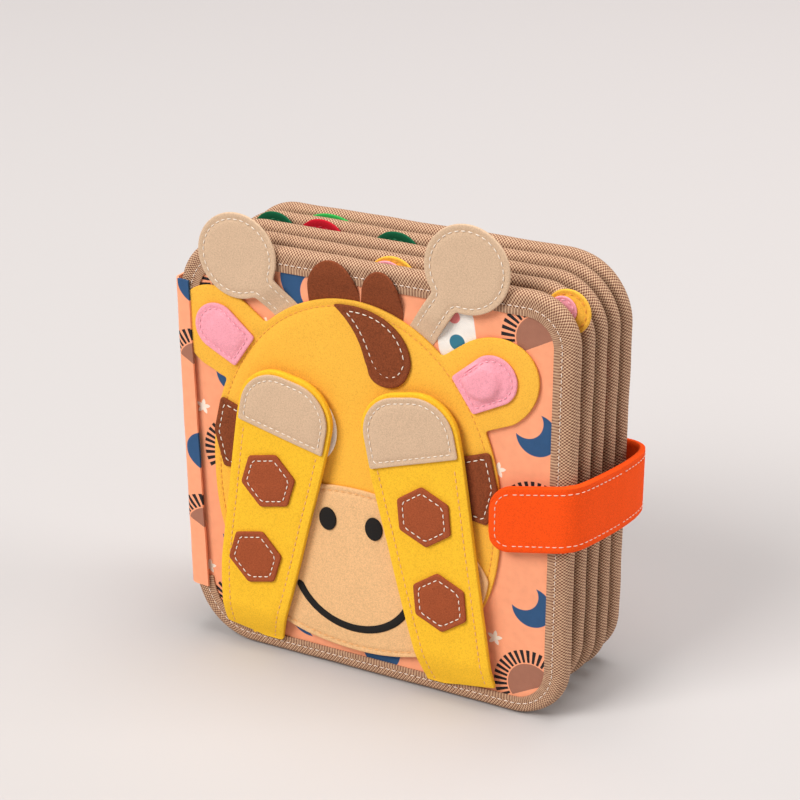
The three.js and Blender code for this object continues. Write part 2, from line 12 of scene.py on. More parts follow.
import bpy
import numpy as np
from mathutils.geometry import delaunay_2d_cdt
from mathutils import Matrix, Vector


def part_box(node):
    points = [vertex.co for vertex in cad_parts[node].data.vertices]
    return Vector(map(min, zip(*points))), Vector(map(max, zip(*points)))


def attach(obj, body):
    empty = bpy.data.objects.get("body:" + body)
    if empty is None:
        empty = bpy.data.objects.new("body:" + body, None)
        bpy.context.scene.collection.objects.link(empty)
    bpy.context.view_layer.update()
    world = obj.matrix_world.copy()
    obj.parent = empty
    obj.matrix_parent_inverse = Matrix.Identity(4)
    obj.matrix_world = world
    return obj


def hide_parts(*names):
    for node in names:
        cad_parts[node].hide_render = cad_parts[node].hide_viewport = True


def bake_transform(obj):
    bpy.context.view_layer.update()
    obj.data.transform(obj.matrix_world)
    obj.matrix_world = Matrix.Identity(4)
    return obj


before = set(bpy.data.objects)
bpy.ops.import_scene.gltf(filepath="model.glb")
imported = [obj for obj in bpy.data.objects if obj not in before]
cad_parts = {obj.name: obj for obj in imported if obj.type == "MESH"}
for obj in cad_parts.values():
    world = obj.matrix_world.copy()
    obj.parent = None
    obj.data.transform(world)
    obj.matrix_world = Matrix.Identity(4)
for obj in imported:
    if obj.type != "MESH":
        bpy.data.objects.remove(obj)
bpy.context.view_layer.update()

# %% [markdown]
# ## Places
# Sewing is measured in millimetres from the leaf: x from the middle of the leaf to the fore edge,
# z up from its lower edge, y from the leaf's middle plane, with minus towards the front. The frame
# is in metres about the whole book, so one function carries a table of points from one to the other.
# The tape of each leaf tells where its middle plane lies.

# %% From leaf millimetres to the frame
MM = 0.001
LEAVES = ("front_cover", "page_1", "page_2", "page_3", "back_cover")
LEAF_WIDTH, LEAF_HEIGHT = 200.0, 205.0
boxes = {leaf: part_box(f"{leaf}_binding") for leaf in LEAVES}
leaf_x = (boxes["front_cover"][0].x + boxes["front_cover"][1].x) / 2
leaf_y = {leaf: (low.y + high.y) / 2 for leaf, (low, high) in boxes.items()}
rng = np.random.default_rng(7)


def placed(points, leaf):
    """Millimetres about a leaf become metres in the frame: divide by a thousand and add the leaf's place."""
    return np.asarray(points, float) * MM + np.array([leaf_x, leaf_y[leaf], 0.0])


print("leaf planes:", {leaf: round(y / MM, 1) for leaf, y in leaf_y.items()})

# %% [markdown]
# ## The camera
# The photograph looks down at the front cover from its right. A camera was fitted to the four edges
# of the cover, which gave its direction, its distance and a lens of about 93 mm on a 36 mm sensor.

# %% Camera
AZIMUTH, ELEVATION, DISTANCE = math.radians(27.448), math.radians(23.219), 1.0083
camera_data = bpy.data.cameras.new("camera")
camera_data.lens = 93.46
camera_data.sensor_width = 36
camera_data.clip_start = 0.05
camera = bpy.data.objects.new("camera", camera_data)
bpy.context.scene.collection.objects.link(camera)
towards_camera = np.array([
    math.sin(AZIMUTH) * math.cos(ELEVATION),
    -math.cos(AZIMUTH) * math.cos(ELEVATION),
    math.sin(ELEVATION),
])
aim = placed([-22.21, 40.85, 108.35], "page_2")
camera.location = aim + towards_camera * DISTANCE
camera.rotation_euler = (math.pi / 2 - ELEVATION, 0, AZIMUTH)
bpy.context.scene.camera = camera
bpy.context.scene.view_settings.view_transform = "Standard"
print("camera at", [round(v, 3) for v in camera.location])

# %% [markdown]
# ## Meshes from tables of points
# Every new piece is a stack of rings: closed lines with the same number of points, joined by
# four-sided faces. A ring can be a cross-section carried along a path, or an outline drawn in step
# by step. The first and last ring are closed with one face each, with a ladder of quads on a band
# that bends, or, on a felt piece, with a net of small triangles that can rise and fall inside the
# seam. So every piece is a closed body.


# %% Points and rings to mesh
def make_mesh(name, points, faces, material, uv=None):
    """Points in metres and faces of their numbers become one object, smooth up to folds of 50 degrees."""
    mesh = bpy.data.meshes.new(name)
    mesh.from_pydata(points, [], faces, shade_flat=False)
    if uv is not None:
        mesh.uv_layers.new(name="cloth").data.foreach_set("uv", np.asarray(uv, float).ravel())
    mesh.set_sharp_from_angle(angle=math.radians(50))
    mesh.materials.append(material)
    piece = bpy.data.objects.new(name, mesh)
    bpy.context.scene.collection.objects.link(piece)
    return piece


def ring_quads(count, around):
    """Ring j and ring j+1 are joined by quads (j,i) (j,i+1) (j+1,i+1) (j+1,i)."""
    j, i = np.meshgrid(np.arange(count - 1), np.arange(around), indexing="ij")
    after = (i + 1) % around
    quads = [j * around + i, j * around + after, (j + 1) * around + after, (j + 1) * around + i]
    return np.stack(quads, -1).reshape(-1, 4)


def ring_mesh(name, rings, material, uv=None, band=False):
    """A stack of rings, joined by quads and closed at both ends. The map has one more column than a ring.

    An end is one face, or, on a band that bends, a ladder of quads between point i and its partner n - 1 - i.
    """
    rings = np.asarray(rings, float)
    count, around = rings.shape[:2]
    end = np.arange(around)[None]
    if band:
        i = np.arange(around // 2 - 1)
        end = np.stack([i, i + 1, around - 2 - i, around - 1 - i], -1)
    caps = np.vstack([end[:, ::-1], end + (count - 1) * around])
    if uv is not None:
        corners = np.stack([uv[:-1, :-1], uv[:-1, 1:], uv[1:, 1:], uv[1:, :-1]], 2)
        uv = np.concatenate([corners.reshape(-1, 2), uv[0][end[:, ::-1].ravel()], uv[-1][end.ravel()]])
    faces = ring_quads(count, around).tolist() + caps.tolist()
    return make_mesh(name, rings.reshape(-1, 3), faces, material, uv)


def sit(piece, body, nodes=()):
    """Puts a finished piece on its body, in place of its solids."""
    if body is not None:
        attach(piece, body)
    if nodes:
        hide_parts(*nodes)
    return piece


# %% [markdown]
# ## Materials
# Wool-blend felt is a mat of short fibres: matt, faintly fuzzy, its tone mottled by clumps and single
# fibres. Small functions turn the hex colours, which are written as they look on a screen, into
# linear light, and add a node with its settings and links, a sum, a noise or a ramp of two tones.


# %% Node helper and colours
def linear(hex_colour, shade=1.0):
    """Each channel c of an sRGB hex value becomes ((c + 0.055) / 1.055) ** 2.4, and is then shaded."""
    value = np.array([int(hex_colour[i:i + 2], 16) for i in (0, 2, 4)]) / 255
    light = np.where(value <= 0.04045, value / 12.92, ((value + 0.055) / 1.055) ** 2.4)
    return tuple(np.clip(light * shade, 0, 1)) + (1.0,)


def wire(tree, node, inputs):
    """Fills a node's inputs, by number or name: a node or a socket is linked, a plain value is written."""
    for key, value in inputs.items():
        if isinstance(value, bpy.types.Node):
            value = value.outputs[0]
        if isinstance(value, bpy.types.NodeSocket):
            tree.links.new(value, node.inputs[key])
        else:
            node.inputs[key].default_value = value


def add(tree, kind, *values, **named):
    """Adds one node. Values fill its inputs in order; names are its settings, or inputs as Scale or i6."""
    node = tree.nodes.new("ShaderNode" + kind)
    inputs = dict(enumerate(values))
    for key, value in named.items():
        if hasattr(node, key):
            setattr(node, key, value)
        else:
            inputs[int(key[1:]) if key[1:].isdigit() else key] = value
    wire(tree, node, inputs)
    return node


def sums(tree, operation, *values, **named):
    """Adds one sum of the Math node, such as ADD or SINE, on plain values, nodes or sockets."""
    return add(tree, "Math", *values, operation=operation, **named)


def noise(tree, scale, detail=2, **named):
    """Adds noise over the object's own space, at a scale in turns a metre."""
    place = add(tree, "TexCoord").outputs["Object"]
    return add(tree, "TexNoise", Vector=place, Scale=scale, Detail=detail, **named)


def two_tones(tree, share, dark, light, start=0.0, end=1.0):
    """A ramp that turns a share into a tone between a dark and a light colour, from one share to another."""
    ramp = add(tree, "ValToRGB", share)
    low, high = ramp.color_ramp.elements
    low.position, high.position = start, end
    low.color, high.color = dark, light
    return ramp


def new_material(name):
    """A material with Blender's own principled shader, already joined to its output."""
    material = bpy.data.materials.new(name)
    material.use_nodes = True
    return material, material.node_tree, material.node_tree.nodes["Principled BSDF"]


# %% Felt
def wool_felt(name, hex_colour, mottle=0.10, fuzz=0.25):
    """Pressed wool felt: two scales of fibre tone about one colour, and a bump of the same fibres."""
    material, tree, shader = new_material(name)
    # Clumps of fibre about 6 mm across, and single fibres drawn 0.6 mm long so that they show.
    clump = noise(tree, 160, Roughness=0.5)
    fibre = noise(tree, 1700, Roughness=0.65, Distortion=0.5)
    # The tone is one part in ten of the clumps and nine of the fibres.
    tone = sums(tree, "MULTIPLY", clump, 0.1)
    tone = sums(tree, "MULTIPLY_ADD", fibre, 0.9, tone)
    dark, light = linear(hex_colour, 1 - mottle * 2.2), linear(hex_colour, 1 + mottle * 0.6)
    ramp = two_tones(tree, tone, dark, light, 0.3, 0.62)
    wire(tree, shader, {
        "Base Color": ramp, "Roughness": 0.94, "Specular IOR Level": 0.2,
        "Normal": add(tree, "Bump", Strength=0.35, Distance=0.0004, Height=tone),
        "Sheen Weight": fuzz, "Sheen Roughness": 0.6, "Sheen Tint": linear(hex_colour, 1.4),
    })
    return material


FELTS = {
    "yellow_felt": ("felt_head_yellow", "febb44"),
    "arm_felt": ("felt_arm_yellow", "fec230"),
    "muzzle_felt": ("felt_muzzle_tan", "edbd88"),
    "beige_felt": ("felt_horn_beige", "d5b698"),
    "pink_felt": ("felt_ear_pink", "fca5b4"),
    "brown_felt": ("felt_patch_brown", "854427", 0.2),
    "rust_felt": ("felt_spot_rust", "a1502f", 0.15),
    "black_felt": ("felt_black", "211f1e", 0.1, 0.08),
    "white_felt": ("felt_white", "f4efe8"),
    "strap_felt": ("felt_strap_orange", "fd5210"),
    "blue_page": ("felt_page_blue", "8fc1d6"),
    "cream_page": ("felt_page_cream", "f2dfb6"),
    "green_page": ("felt_page_green", "7fb48c"),
    "green_felt": ("felt_tongue_green", "0f5a3a"),
    "red_felt": ("felt_tongue_red", "c2182b"),
    "lime_felt": ("felt_hill_lime", "34a84c"),
}
felts = {slot: wool_felt(*values) for slot, values in FELTS.items()}
print("felts:", len(felts))


# %% [markdown]
# ## Thread
# Polyester sewing thread has a soft gloss and a twist. At this size the twist is finer than the
# render can show, so an uneven tone stands for it.


# %% Thread
def polyester_thread(name, hex_colour):
    """Spun polyester thread: a plain colour, smoother than felt, with a little uneven tone."""
    material, tree, shader = new_material(name)
    ramp = two_tones(tree, noise(tree, 1800, 1), linear(hex_colour, 0.82), linear(hex_colour, 1.1))
    wire(tree, shader, {"Base Color": ramp, "Roughness": 0.55, "Specular IOR Level": 0.35})
    return material


# The yellow thread is yellow like the felts it sews, but darker and more orange: that part of its colour is
# painted shade, for the shade in the dips that its stitches pull into the felt.
THREADS = {
    "white": "f6e9da", "yellow": "eda243", "peach": "efb878", "pink": "fcb9c6", "grey": "f0ddcf",
    "salmon": "e9bfa8", "green": "1b6a47", "red": "b02138", "lime": "45a83c",
}
threads = {name: polyester_thread(f"thread_{name}", colour) for name, colour in THREADS.items()}
print("threads:", list(threads))


# %% [markdown]
# ## Braid tape
# The leaves are bound with a woven tape: cream dots stand in slanting rows on a rust ground, and along
# both inner edges a ribbed selvedge runs, whose ribs cross the tape. The real rows are 1.2 mm apart,
# which is about two pixels of the render, so they are drawn at 1.5 mm, and the ribs at 1.4 mm. The
# pattern follows the tape round the corners, so it reads the map of the cloth, which is in metres.


# %% Braid material
# Metres: the pitch of the slanting rows, the pitch of the ribs, and the width of a selvedge.
ROW_PITCH, RIB_PITCH, SELVEDGE = 0.0015, 0.0014, 0.0036


def braid_tape(name, width):
    """Dots where two slanting waves meet, over a rust ground, and ribs in the selvedges of the two edges."""
    material, tree, shader = new_material(name)
    cloth = add(tree, "SeparateXYZ", add(tree, "UVMap", uv_map="cloth"))
    along, across = cloth.outputs[0], cloth.outputs[1]
    waves = []
    for slope, pitch in ((0.55, ROW_PITCH), (-0.9, ROW_PITCH), (0.0, RIB_PITCH)):
        phase = sums(tree, "MULTIPLY_ADD", across, slope, along)
        turns = sums(tree, "MULTIPLY", phase, 2 * math.pi / pitch)
        waves.append(sums(tree, "SINE", turns))
    dots = sums(tree, "ADD", waves[0], waves[1])
    ribs = sums(tree, "MULTIPLY", waves[2], 0.8)
    from_centre = sums(tree, "ABSOLUTE", sums(tree, "SUBTRACT", across, width / 2))
    at_edge = sums(tree, "GREATER_THAN", from_centre, width / 2 - SELVEDGE)
    weave = add(tree, "Mix", at_edge, i2=dots, i3=ribs)
    level = sums(tree, "MULTIPLY_ADD", weave, 0.3, 0.46)
    tone = sums(tree, "MULTIPLY_ADD", noise(tree, 700), 0.4, sums(tree, "SUBTRACT", level, 0.2))
    ramp = two_tones(tree, tone, linear("64311e"), linear("e2bb98"), 0.05, 0.95)
    wire(tree, shader, {
        "Base Color": ramp, "Roughness": 0.8, "Specular IOR Level": 0.3,
        "Normal": add(tree, "Bump", Strength=0.6, Distance=0.0004, Height=level),
    })
    return material


# %% [markdown]
# ## Printed cotton
# The covers and the spine are faced with cotton, printed on a peach ground. The print here is a
# plain geometric one, in a half-drop repeat of 76 by 84 mm: brown half suns with dark rays, navy
# half-moons, white arches with a pink and a teal dot, white rings with a dark dot, and small stars
# and crosses. Each motif is a distance worked out with a few sums, so that the print has clean edges
# at any size.


# %% Print material
# Metres: the repeat, where the cloth's corner lies in it, a motif's soft edge and the weave's pitch.
PRINT_WIDE, PRINT_HIGH = 0.076, 0.084
PRINT_START = (0.016, 0.048)
SOFT_PRINT, GRAIN_PITCH = 0.00025, 0.0008


def printed_cotton(name):
    """Peach cotton with a half-drop geometric print, on the map of the cloth in metres."""
    material, tree, shader = new_material(name)
    cloth = add(tree, "SeparateXYZ", add(tree, "UVMap", uv_map="cloth"))
    across = sums(tree, "ADD", cloth.outputs[0], PRINT_START[0])
    up = sums(tree, "ADD", cloth.outputs[1], PRINT_START[1])
    column = sums(tree, "FLOOR", sums(tree, "DIVIDE", across, PRINT_WIDE))
    odd = sums(tree, "FLOORED_MODULO", column, 2.0)
    dropped = sums(tree, "MULTIPLY_ADD", odd, PRINT_HIGH / 2, up)
    x = sums(tree, "FLOORED_MODULO", across, PRINT_WIDE)
    z = sums(tree, "FLOORED_MODULO", dropped, PRINT_HIGH)
    paint = linear("fca880")

    def about(centre, turn):
        """Places about a motif's centre, turned by an angle: the usual sums of sines and cosines."""
        u = sums(tree, "SUBTRACT", x, centre[0] * MM)
        v = sums(tree, "SUBTRACT", z, centre[1] * MM)
        c, s = math.cos(turn), math.sin(turn)
        return (
            sums(tree, "MULTIPLY_ADD", u, c, sums(tree, "MULTIPLY", v, s)),
            sums(tree, "MULTIPLY_ADD", v, c, sums(tree, "MULTIPLY", u, -s)),
        )

    def inside(distance, size):
        """1 where a distance is under a size in millimetres, with an edge 0.25 mm soft."""
        gap = sums(tree, "SUBTRACT", size * MM, distance)
        return sums(tree, "MULTIPLY", gap, 1 / SOFT_PRINT, use_clamp=True)

    def radius(u, v, right=0.0, above=0.0):
        """The distance from a point right of and above a motif's centre: the root of the sum of squares."""
        u = sums(tree, "SUBTRACT", u, right * MM)
        v = sums(tree, "SUBTRACT", v, above * MM)
        return sums(tree, "SQRT", sums(tree, "MULTIPLY_ADD", u, u, sums(tree, "MULTIPLY", v, v)))

    def angle(u, v, times):
        """The angle about a motif's centre, times a number."""
        return sums(tree, "MULTIPLY", sums(tree, "ARCTAN2", v, u), times)

    layers = []
    # Half sun: a brown half disc with a ring of dark rays, which would be 34 in a full turn.
    u, v = about((22, 22), 0.5)
    r = radius(u, v)
    upper = sums(tree, "GREATER_THAN", v, -0.002)
    rays = sums(tree, "GREATER_THAN", sums(tree, "SINE", angle(u, v, 34.0)), -0.15)
    ring = sums(tree, "SUBTRACT", inside(r, 18.0), inside(r, 11.6))
    ring = sums(tree, "MULTIPLY", sums(tree, "MULTIPLY", ring, rays), upper)
    layers.append((ring, "2a2729"))
    layers.append((sums(tree, "MULTIPLY", inside(r, 11.0), upper), "a5705c"))
    # Navy half-moons: a disc less a disc beside it.
    for centre, turn, size in (((60, 30), -0.6, 12.5), ((22, 62), 2.3, 10.0)):
        u, v = about(centre, turn)
        bite = inside(radius(u, v, size * 0.75), size * 0.8)
        moon = sums(tree, "SUBTRACT", inside(radius(u, v), size), bite, use_clamp=True)
        layers.append((moon, "33567f"))
    # White arch: a round top on a straight foot, with a pink dot and a teal one.
    u, v = about((58, 66), 0.15)
    foot = sums(tree, "MINIMUM", sums(tree, "MAXIMUM", v, -0.012), 0.0)
    layers.append((inside(radius(u, sums(tree, "SUBTRACT", v, foot)), 9.5), "f7f1ea"))
    layers.append((inside(radius(u, v, 0, 1.5), 3.0), "f08a8a"))
    layers.append((inside(radius(u, v, 0, -10), 3.8), "3b7c94"))
    # Five-pointed stars: the edge's radius falls from the tip to 0.42 of it, and back, five times a turn.
    for centre in ((4, 42), (38, 80)):
        u, v = about(centre, 0.2)
        reach = sums(tree, "MULTIPLY", sums(tree, "PINGPONG", angle(u, v, 2.5 / math.pi), 0.5), 0.0046)
        layers.append((inside(sums(tree, "ADD", radius(u, v), reach), 4.0), "fbeede"))
    # A white ring with a dark dot.
    u, v = about((70, 6), 0.0)
    layers.append((inside(radius(u, v), 5.0), "f7f1ea"))
    layers.append((inside(radius(u, v), 2.0), "35383d"))
    # Small crosses: the longer of the two distances is short, and the shorter one very short.
    for centre in ((41, 48), (40, 6)):
        u, v = (sums(tree, "ABSOLUTE", side) for side in about(centre, 0.3))
        long_side = inside(sums(tree, "MAXIMUM", u, v), 2.9)
        short_side = inside(sums(tree, "MINIMUM", u, v), 0.75)
        layers.append((sums(tree, "MULTIPLY", long_side, short_side), "fbeede"))
    for mask, hex_colour in layers:
        paint = add(tree, "Mix", mask, data_type="RGBA", i6=paint, i7=linear(hex_colour)).outputs[2]
    # Plain weave with a thread every 0.35 mm, drawn at 0.8 mm so that it shows as a fine grain.
    grain = [
        sums(tree, "SINE", sums(tree, "MULTIPLY", side, 2 * math.pi / GRAIN_PITCH))
        for side in (cloth.outputs[0], cloth.outputs[1])
    ]
    weave = sums(tree, "MULTIPLY", *grain)
    soft = noise(tree, 260, 4)
    shade = sums(tree, "MULTIPLY_ADD", weave, 0.03, 0.89)
    shade = sums(tree, "MULTIPLY_ADD", soft, 0.2, shade)
    height = sums(tree, "ADD", weave, soft)
    tinted = add(tree, "Mix", 1.0, data_type="RGBA", blend_type="MULTIPLY", i6=paint, i7=shade).outputs[2]
    wire(tree, shader, {
        "Base Color": tinted,
        "Normal": add(tree, "Bump", Strength=0.25, Distance=0.0003, Height=height),
        "Roughness": 0.9, "Specular IOR Level": 0.2,
    })
    return material


cotton_print = printed_cotton("cotton_print_peach")
cotton_lining = wool_felt("cotton_lining_cream", "f3d9b8", mottle=0.05, fuzz=0.1)
stiff_board = wool_felt("board_undyed", "e8e2d6", mottle=0.06, fuzz=0.1)
felts["hook_tape"] = wool_felt("hook_and_loop_tape", "e9d9c4", mottle=0.25, fuzz=0.6)
print("print nodes:", len(cotton_print.node_tree.nodes))

# %% [markdown]
# ## Outlines
# A cut shape is a closed line of points, evenly spaced, running anticlockwise as seen from the
# front. Even spacing matters, because the edge's cross-section is carried along this line and each
# stitch is set at a share of its length.


# %% Outline helpers
# Insets below the first can't cross; a moved point is clear if it keeps the second share of the inset.
LEAST_CROSSING, CLEAR_SHARE = 0.3, 0.998


def even(points, step=1.0, closed=True):
    """Points at even distances along a line: each axis is read back at even shares of the summed length."""
    points = np.asarray(points, float)
    if closed:
        points = np.vstack([points, points[:1]])
    lengths = np.concatenate([[0], np.cumsum(np.linalg.norm(np.diff(points, axis=0), axis=1))])
    count = max(8, int(round(lengths[-1] / step)))
    at = np.linspace(0, lengths[-1], count, endpoint=not closed)
    return np.stack([np.interp(at, lengths, axis) for axis in points.T], -1)


def normals(line, closed=True):
    """The left-hand normal of a line: its tangent by central differences, turned by a quarter."""
    if closed:
        tangent = np.roll(line, -1, 0) - np.roll(line, 1, 0)
    else:
        tangent = np.gradient(line, axis=0)
    tangent /= np.linalg.norm(tangent, axis=1, keepdims=True)
    return np.stack([-tangent[:, 1], tangent[:, 0]], -1)


def drawn_in(line, inset):
    """A closed line moved inwards by an inset. Where a corner is tighter than the inset, the moved points
    cross over and lie nearer to the line than they should; they are read between the good ones instead."""
    moved = line + normals(line) * inset
    if inset < LEAST_CROSSING:
        return moved
    gaps = np.linalg.norm(moved[:, None] - line[None], axis=2).min(1)
    clear = gaps > inset * CLEAR_SHARE
    good = np.flatnonzero(clear & np.roll(clear, 1) & np.roll(clear, -1))
    if len(good) in (len(line), 0, 1):
        return moved
    index = np.arange(len(line))
    return np.stack([np.interp(index, good, axis[good], period=len(line)) for axis in moved.T], -1)


def smoothed(line, passes=2):
    """Each point becomes the mean of itself and its neighbours, in the shares 1, 2 and 1."""
    for _ in range(passes):
        line = (np.roll(line, 1, 0) + 2 * line + np.roll(line, -1, 0)) / 4
    return line


def oval(x, z, half_width, rise, drop=None, fullness=2.0):
    """x + w cos t and z + h sin t, where the lower half has a height and a squareness of its own."""
    t = np.linspace(0, 2 * math.pi, 720, endpoint=False)
    across, up = np.cos(t), np.sin(t)
    power = np.where(up < 0, 2 / fullness, 1.0)
    height = np.where(up < 0, rise if drop is None else drop, rise)
    return np.stack([
        x + half_width * np.sign(across) * np.abs(across) ** power,
        z + height * np.sign(up) * np.abs(up) ** power,
    ], -1)


def rounded(corners, radius, steps=12):
    """A polygon with arcs as corners: each touches both its sides, at radius / tan(half angle) along them."""
    corners = np.asarray(corners, float)
    radius = np.broadcast_to(radius, len(corners))
    before, after = np.roll(corners, 1, 0) - corners, np.roll(corners, -1, 0) - corners
    before /= np.linalg.norm(before, axis=1, keepdims=True)
    after /= np.linalg.norm(after, axis=1, keepdims=True)
    half = np.arccos(np.clip((before * after).sum(1), -1, 1)) / 2
    middle = before + after
    middle /= np.linalg.norm(middle, axis=1, keepdims=True)
    centre = corners + middle * (radius / np.sin(half))[:, None]
    start = corners + before * (radius / np.tan(half))[:, None] - centre
    end = corners + after * (radius / np.tan(half))[:, None] - centre
    share = np.linspace(0, 1, steps)[None, :, None]
    sweep = math.pi - 2 * half[:, None, None]
    arc = np.sin((1 - share) * sweep) * start[:, None] + np.sin(share * sweep) * end[:, None]
    return (centre[:, None] + arc / np.sin(sweep)).reshape(-1, 2)


def turned(points, angle):
    """Points turned anticlockwise about the origin by an angle in degrees."""
    a = math.radians(angle)
    return np.asarray(points) @ np.array([[math.cos(a), math.sin(a)], [-math.sin(a), math.cos(a)]])


def inside_polygon(points, polygon):
    """A point is inside where a ray to the right crosses the polygon an odd number of times."""
    x, z = points[:, :1], points[:, 1:]
    a, b = polygon[None], np.roll(polygon, -1, 0)[None]
    spans = (a[..., 1] > z) != (b[..., 1] > z)
    rise = np.where(a[..., 1] == b[..., 1], 1.0, b[..., 1] - a[..., 1])
    crossing = a[..., 0] + (z - a[..., 1]) * (b[..., 0] - a[..., 0]) / rise
    return (spans & (x < crossing)).sum(1) % 2 == 1


# The corners of a leaf: lower left, lower right, upper right and upper left.
CORNERS = {
    "front_cover": (34, 26, 24, 30), "page_1": (32, 35, 25, 30), "page_2": (32, 30, 27, 30),
    "page_3": (32, 26, 29, 30), "back_cover": (32, 27, 32, 30),
}


def lean(x, z):
    """The spine side of the sewn book leans in: 1 mm at its top and 3.6 mm at its foot, none past x = -60."""
    foot = np.clip(1 - z / LEAF_HEIGHT, 0, 1) ** 1.2
    return (1.0 + 2.6 * foot) * np.clip((-x - 60) / 40, 0, 1)


def leaf_outline(leaf, inset):
    """The leaf's rounded rectangle, drawn in by an inset on every side and leaning in at the spine."""
    right, high = LEAF_WIDTH / 2 - inset, LEAF_HEIGHT - inset
    corners = [(-right, inset), (right, inset), (right, high), (-right, high)]
    outline = even(rounded(corners, np.array(CORNERS[leaf]) - inset, 24), 0.5)
    return outline + np.stack([lean(outline[:, 0], outline[:, 1]), np.zeros(len(outline))], -1)


# %% [markdown]
# ## A cut piece of felt
# A felt appliqué is a flat sheet with a soft cut edge and a line of stitches a few millimetres in,
# where the thread pulls the felt down into a shallow furrow. The edge is a profile carried round the
# outline: each ring is the outline drawn in by an inset, at the height that the profile has there.
# The face inside the last ring is filled with even triangles, close enough together for a piece to
# bend, swell or lie over another, which a relief adds as a depth for every point.


# %% Felt edge and filling
# Millimetres: the radius of a cut edge, and how far a seam pulls the felt down.
SOFT_EDGE, FURROW = 0.5, 0.28


def felt_profile(thickness, seam):
    """Insets and heights from the back edge over the front: a quarter-round edge and a furrow at the seam."""
    turn = np.linspace(0, math.pi / 2, 4)[1:]
    shoulder = thickness - SOFT_EDGE
    inset = [SOFT_EDGE, 0.15, 0.0, 0.0, *(SOFT_EDGE * (1 - np.cos(turn)))]
    height = [0.0, 0.1 * thickness, 0.3 * thickness, shoulder, *(shoulder + SOFT_EDGE * np.sin(turn))]
    if seam:
        inset += [seam - 0.9, seam - 0.35, seam + 0.35, seam + 0.9, seam + 2.2]
        height += [thickness, thickness - FURROW, thickness - FURROW, thickness, thickness + 0.12]
    return np.array(inset), np.array(height)


def fill(ring, spacing, furrows=()):
    """Points inside a ring, their heights, and triangles: a staggered grid, and three rows along a furrow."""
    low, high = ring.min(0), ring.max(0)
    x, z = np.meshgrid(np.arange(low[0], high[0], spacing), np.arange(low[1], high[1], spacing * 0.87))
    x = x + (np.arange(len(x)) % 2)[:, None] * spacing / 2
    grid = np.stack([x.ravel(), z.ravel()], -1)
    rows, depths = [np.zeros((0, 2))], [np.zeros(0)]
    for line in furrows:
        side = normals(line, closed=False)
        for shift, depth in ((-0.7, 0.0), (0.0, -FURROW), (0.7, 0.0)):
            row = line + side * shift
            rows.append(row[inside_polygon(row, ring)])
            depths.append(np.full(len(rows[-1]), depth))
    rows = np.vstack(rows)
    taken = np.vstack([ring, rows])
    grid = grid[inside_polygon(grid, ring)]
    # A grid point nearer than 0.6 of the spacing to the ring or a row is left out.
    grid = grid[np.linalg.norm(grid[:, None] - taken[None], axis=2).min(1) > 0.6 * spacing]
    inner = np.vstack([rows, grid])
    edges = [(i, (i + 1) % len(ring)) for i in range(len(ring))]
    found, _, faces, *_ = delaunay_2d_cdt(np.vstack([ring, inner]).tolist(), edges, [], 1, 1e-6)
    if len(found) != len(ring) + len(inner):
        raise ValueError("an outline crosses itself")
    return inner, np.concatenate([*depths, np.zeros(len(grid))]), np.array(faces)


# %% Felt piece
def felt_piece(name, outline, back, thickness, material, leaf="front_cover", seam=None, relief=None,
               step=1.0, spacing=5.0, furrows=(), mapped=False, smoothing=1):
    """The edge profile carried round an outline, both faces filled. Depth is back - height, plus relief."""
    line = smoothed(even(outline, step), smoothing)
    insets, heights = felt_profile(thickness, seam)
    rings = np.stack([drawn_in(line, inset) for inset in insets])
    count = len(line)
    front, dips, front_faces = fill(rings[-1], spacing, furrows)
    rear, _, rear_faces = fill(rings[0], spacing)
    flat = np.vstack([rings.reshape(-1, 2), front, rear])
    # A hand-cut felt is never quite flat: its front rises and falls by a tenth of a millimetre.
    height = np.concatenate([np.repeat(heights, count), heights[-1] + dips, np.zeros(len(rear))])
    uneven = 0.1 * np.sin(flat[:, 0] / 6.3 + back) * np.sin(flat[:, 1] / 7.9)
    height = height + uneven * (height > thickness / 2)
    depth = back - height
    if relief is not None:
        depth = depth + relief(flat[:, 0], flat[:, 1], height / thickness)
    first, last = len(insets) * count, (len(insets) - 1) * count
    front_numbers = np.concatenate([np.arange(count) + last, np.arange(len(front)) + first])
    rear_numbers = np.concatenate([np.arange(count), np.arange(len(rear)) + first + len(front)])
    quads = ring_quads(len(insets), count)
    faces = np.vstack([front_numbers[front_faces], rear_numbers[rear_faces][:, ::-1]])
    uv = flat[np.concatenate([quads.ravel(), faces.ravel()])] * MM if mapped else None
    points = placed(np.stack([flat[:, 0], depth, flat[:, 1]], -1), leaf)
    return make_mesh(name, points, quads.tolist() + faces.tolist(), material, uv)


def laid_felt(name, outline, node, slot, back, thickness, body="front_cover", **shape):
    """A felt piece in a finish's own felt, on one body. The leaf is the body's, or the cover for an arm."""
    leaf = body if body in LEAVES else "front_cover"
    piece = felt_piece(name, outline, back, thickness, felts[slot], leaf, **shape)
    return sit(piece, body, [node] if node else [])


# %% [markdown]
# ## Stitches
# A machine stitch is a short bar of thread, a little arched, whose ends dip into the felt. One small
# capsule is worked out once and then set along the seam in a single array product: along the seam
# for its length, outwards for its arch. Thousands are needed, so each has only a few faces.


# %% Stitches
# Millimetres: how deep a stitch lies in its felt, and how far each way its direction is read.
SUNK, REACH = 0.22, 0.6


def capsule(length, radius, arch):
    """Six rings of six points: the radius falls as the root of 1 - t ** 4, and the middle is arched."""
    t = np.linspace(-1, 1, 6)
    girth = radius * np.sqrt(np.clip(1 - np.abs(t) ** 4, 0.02, 1))
    angle = np.linspace(0, 2 * math.pi, 6, endpoint=False)
    along = np.repeat(t[:, None] * length / 2, 6, 1)
    out = girth[:, None] * np.cos(angle)[None] + (arch * (1 - t ** 2))[:, None]
    side = girth[:, None] * np.sin(angle)[None]
    return np.stack([along, out, side], -1)


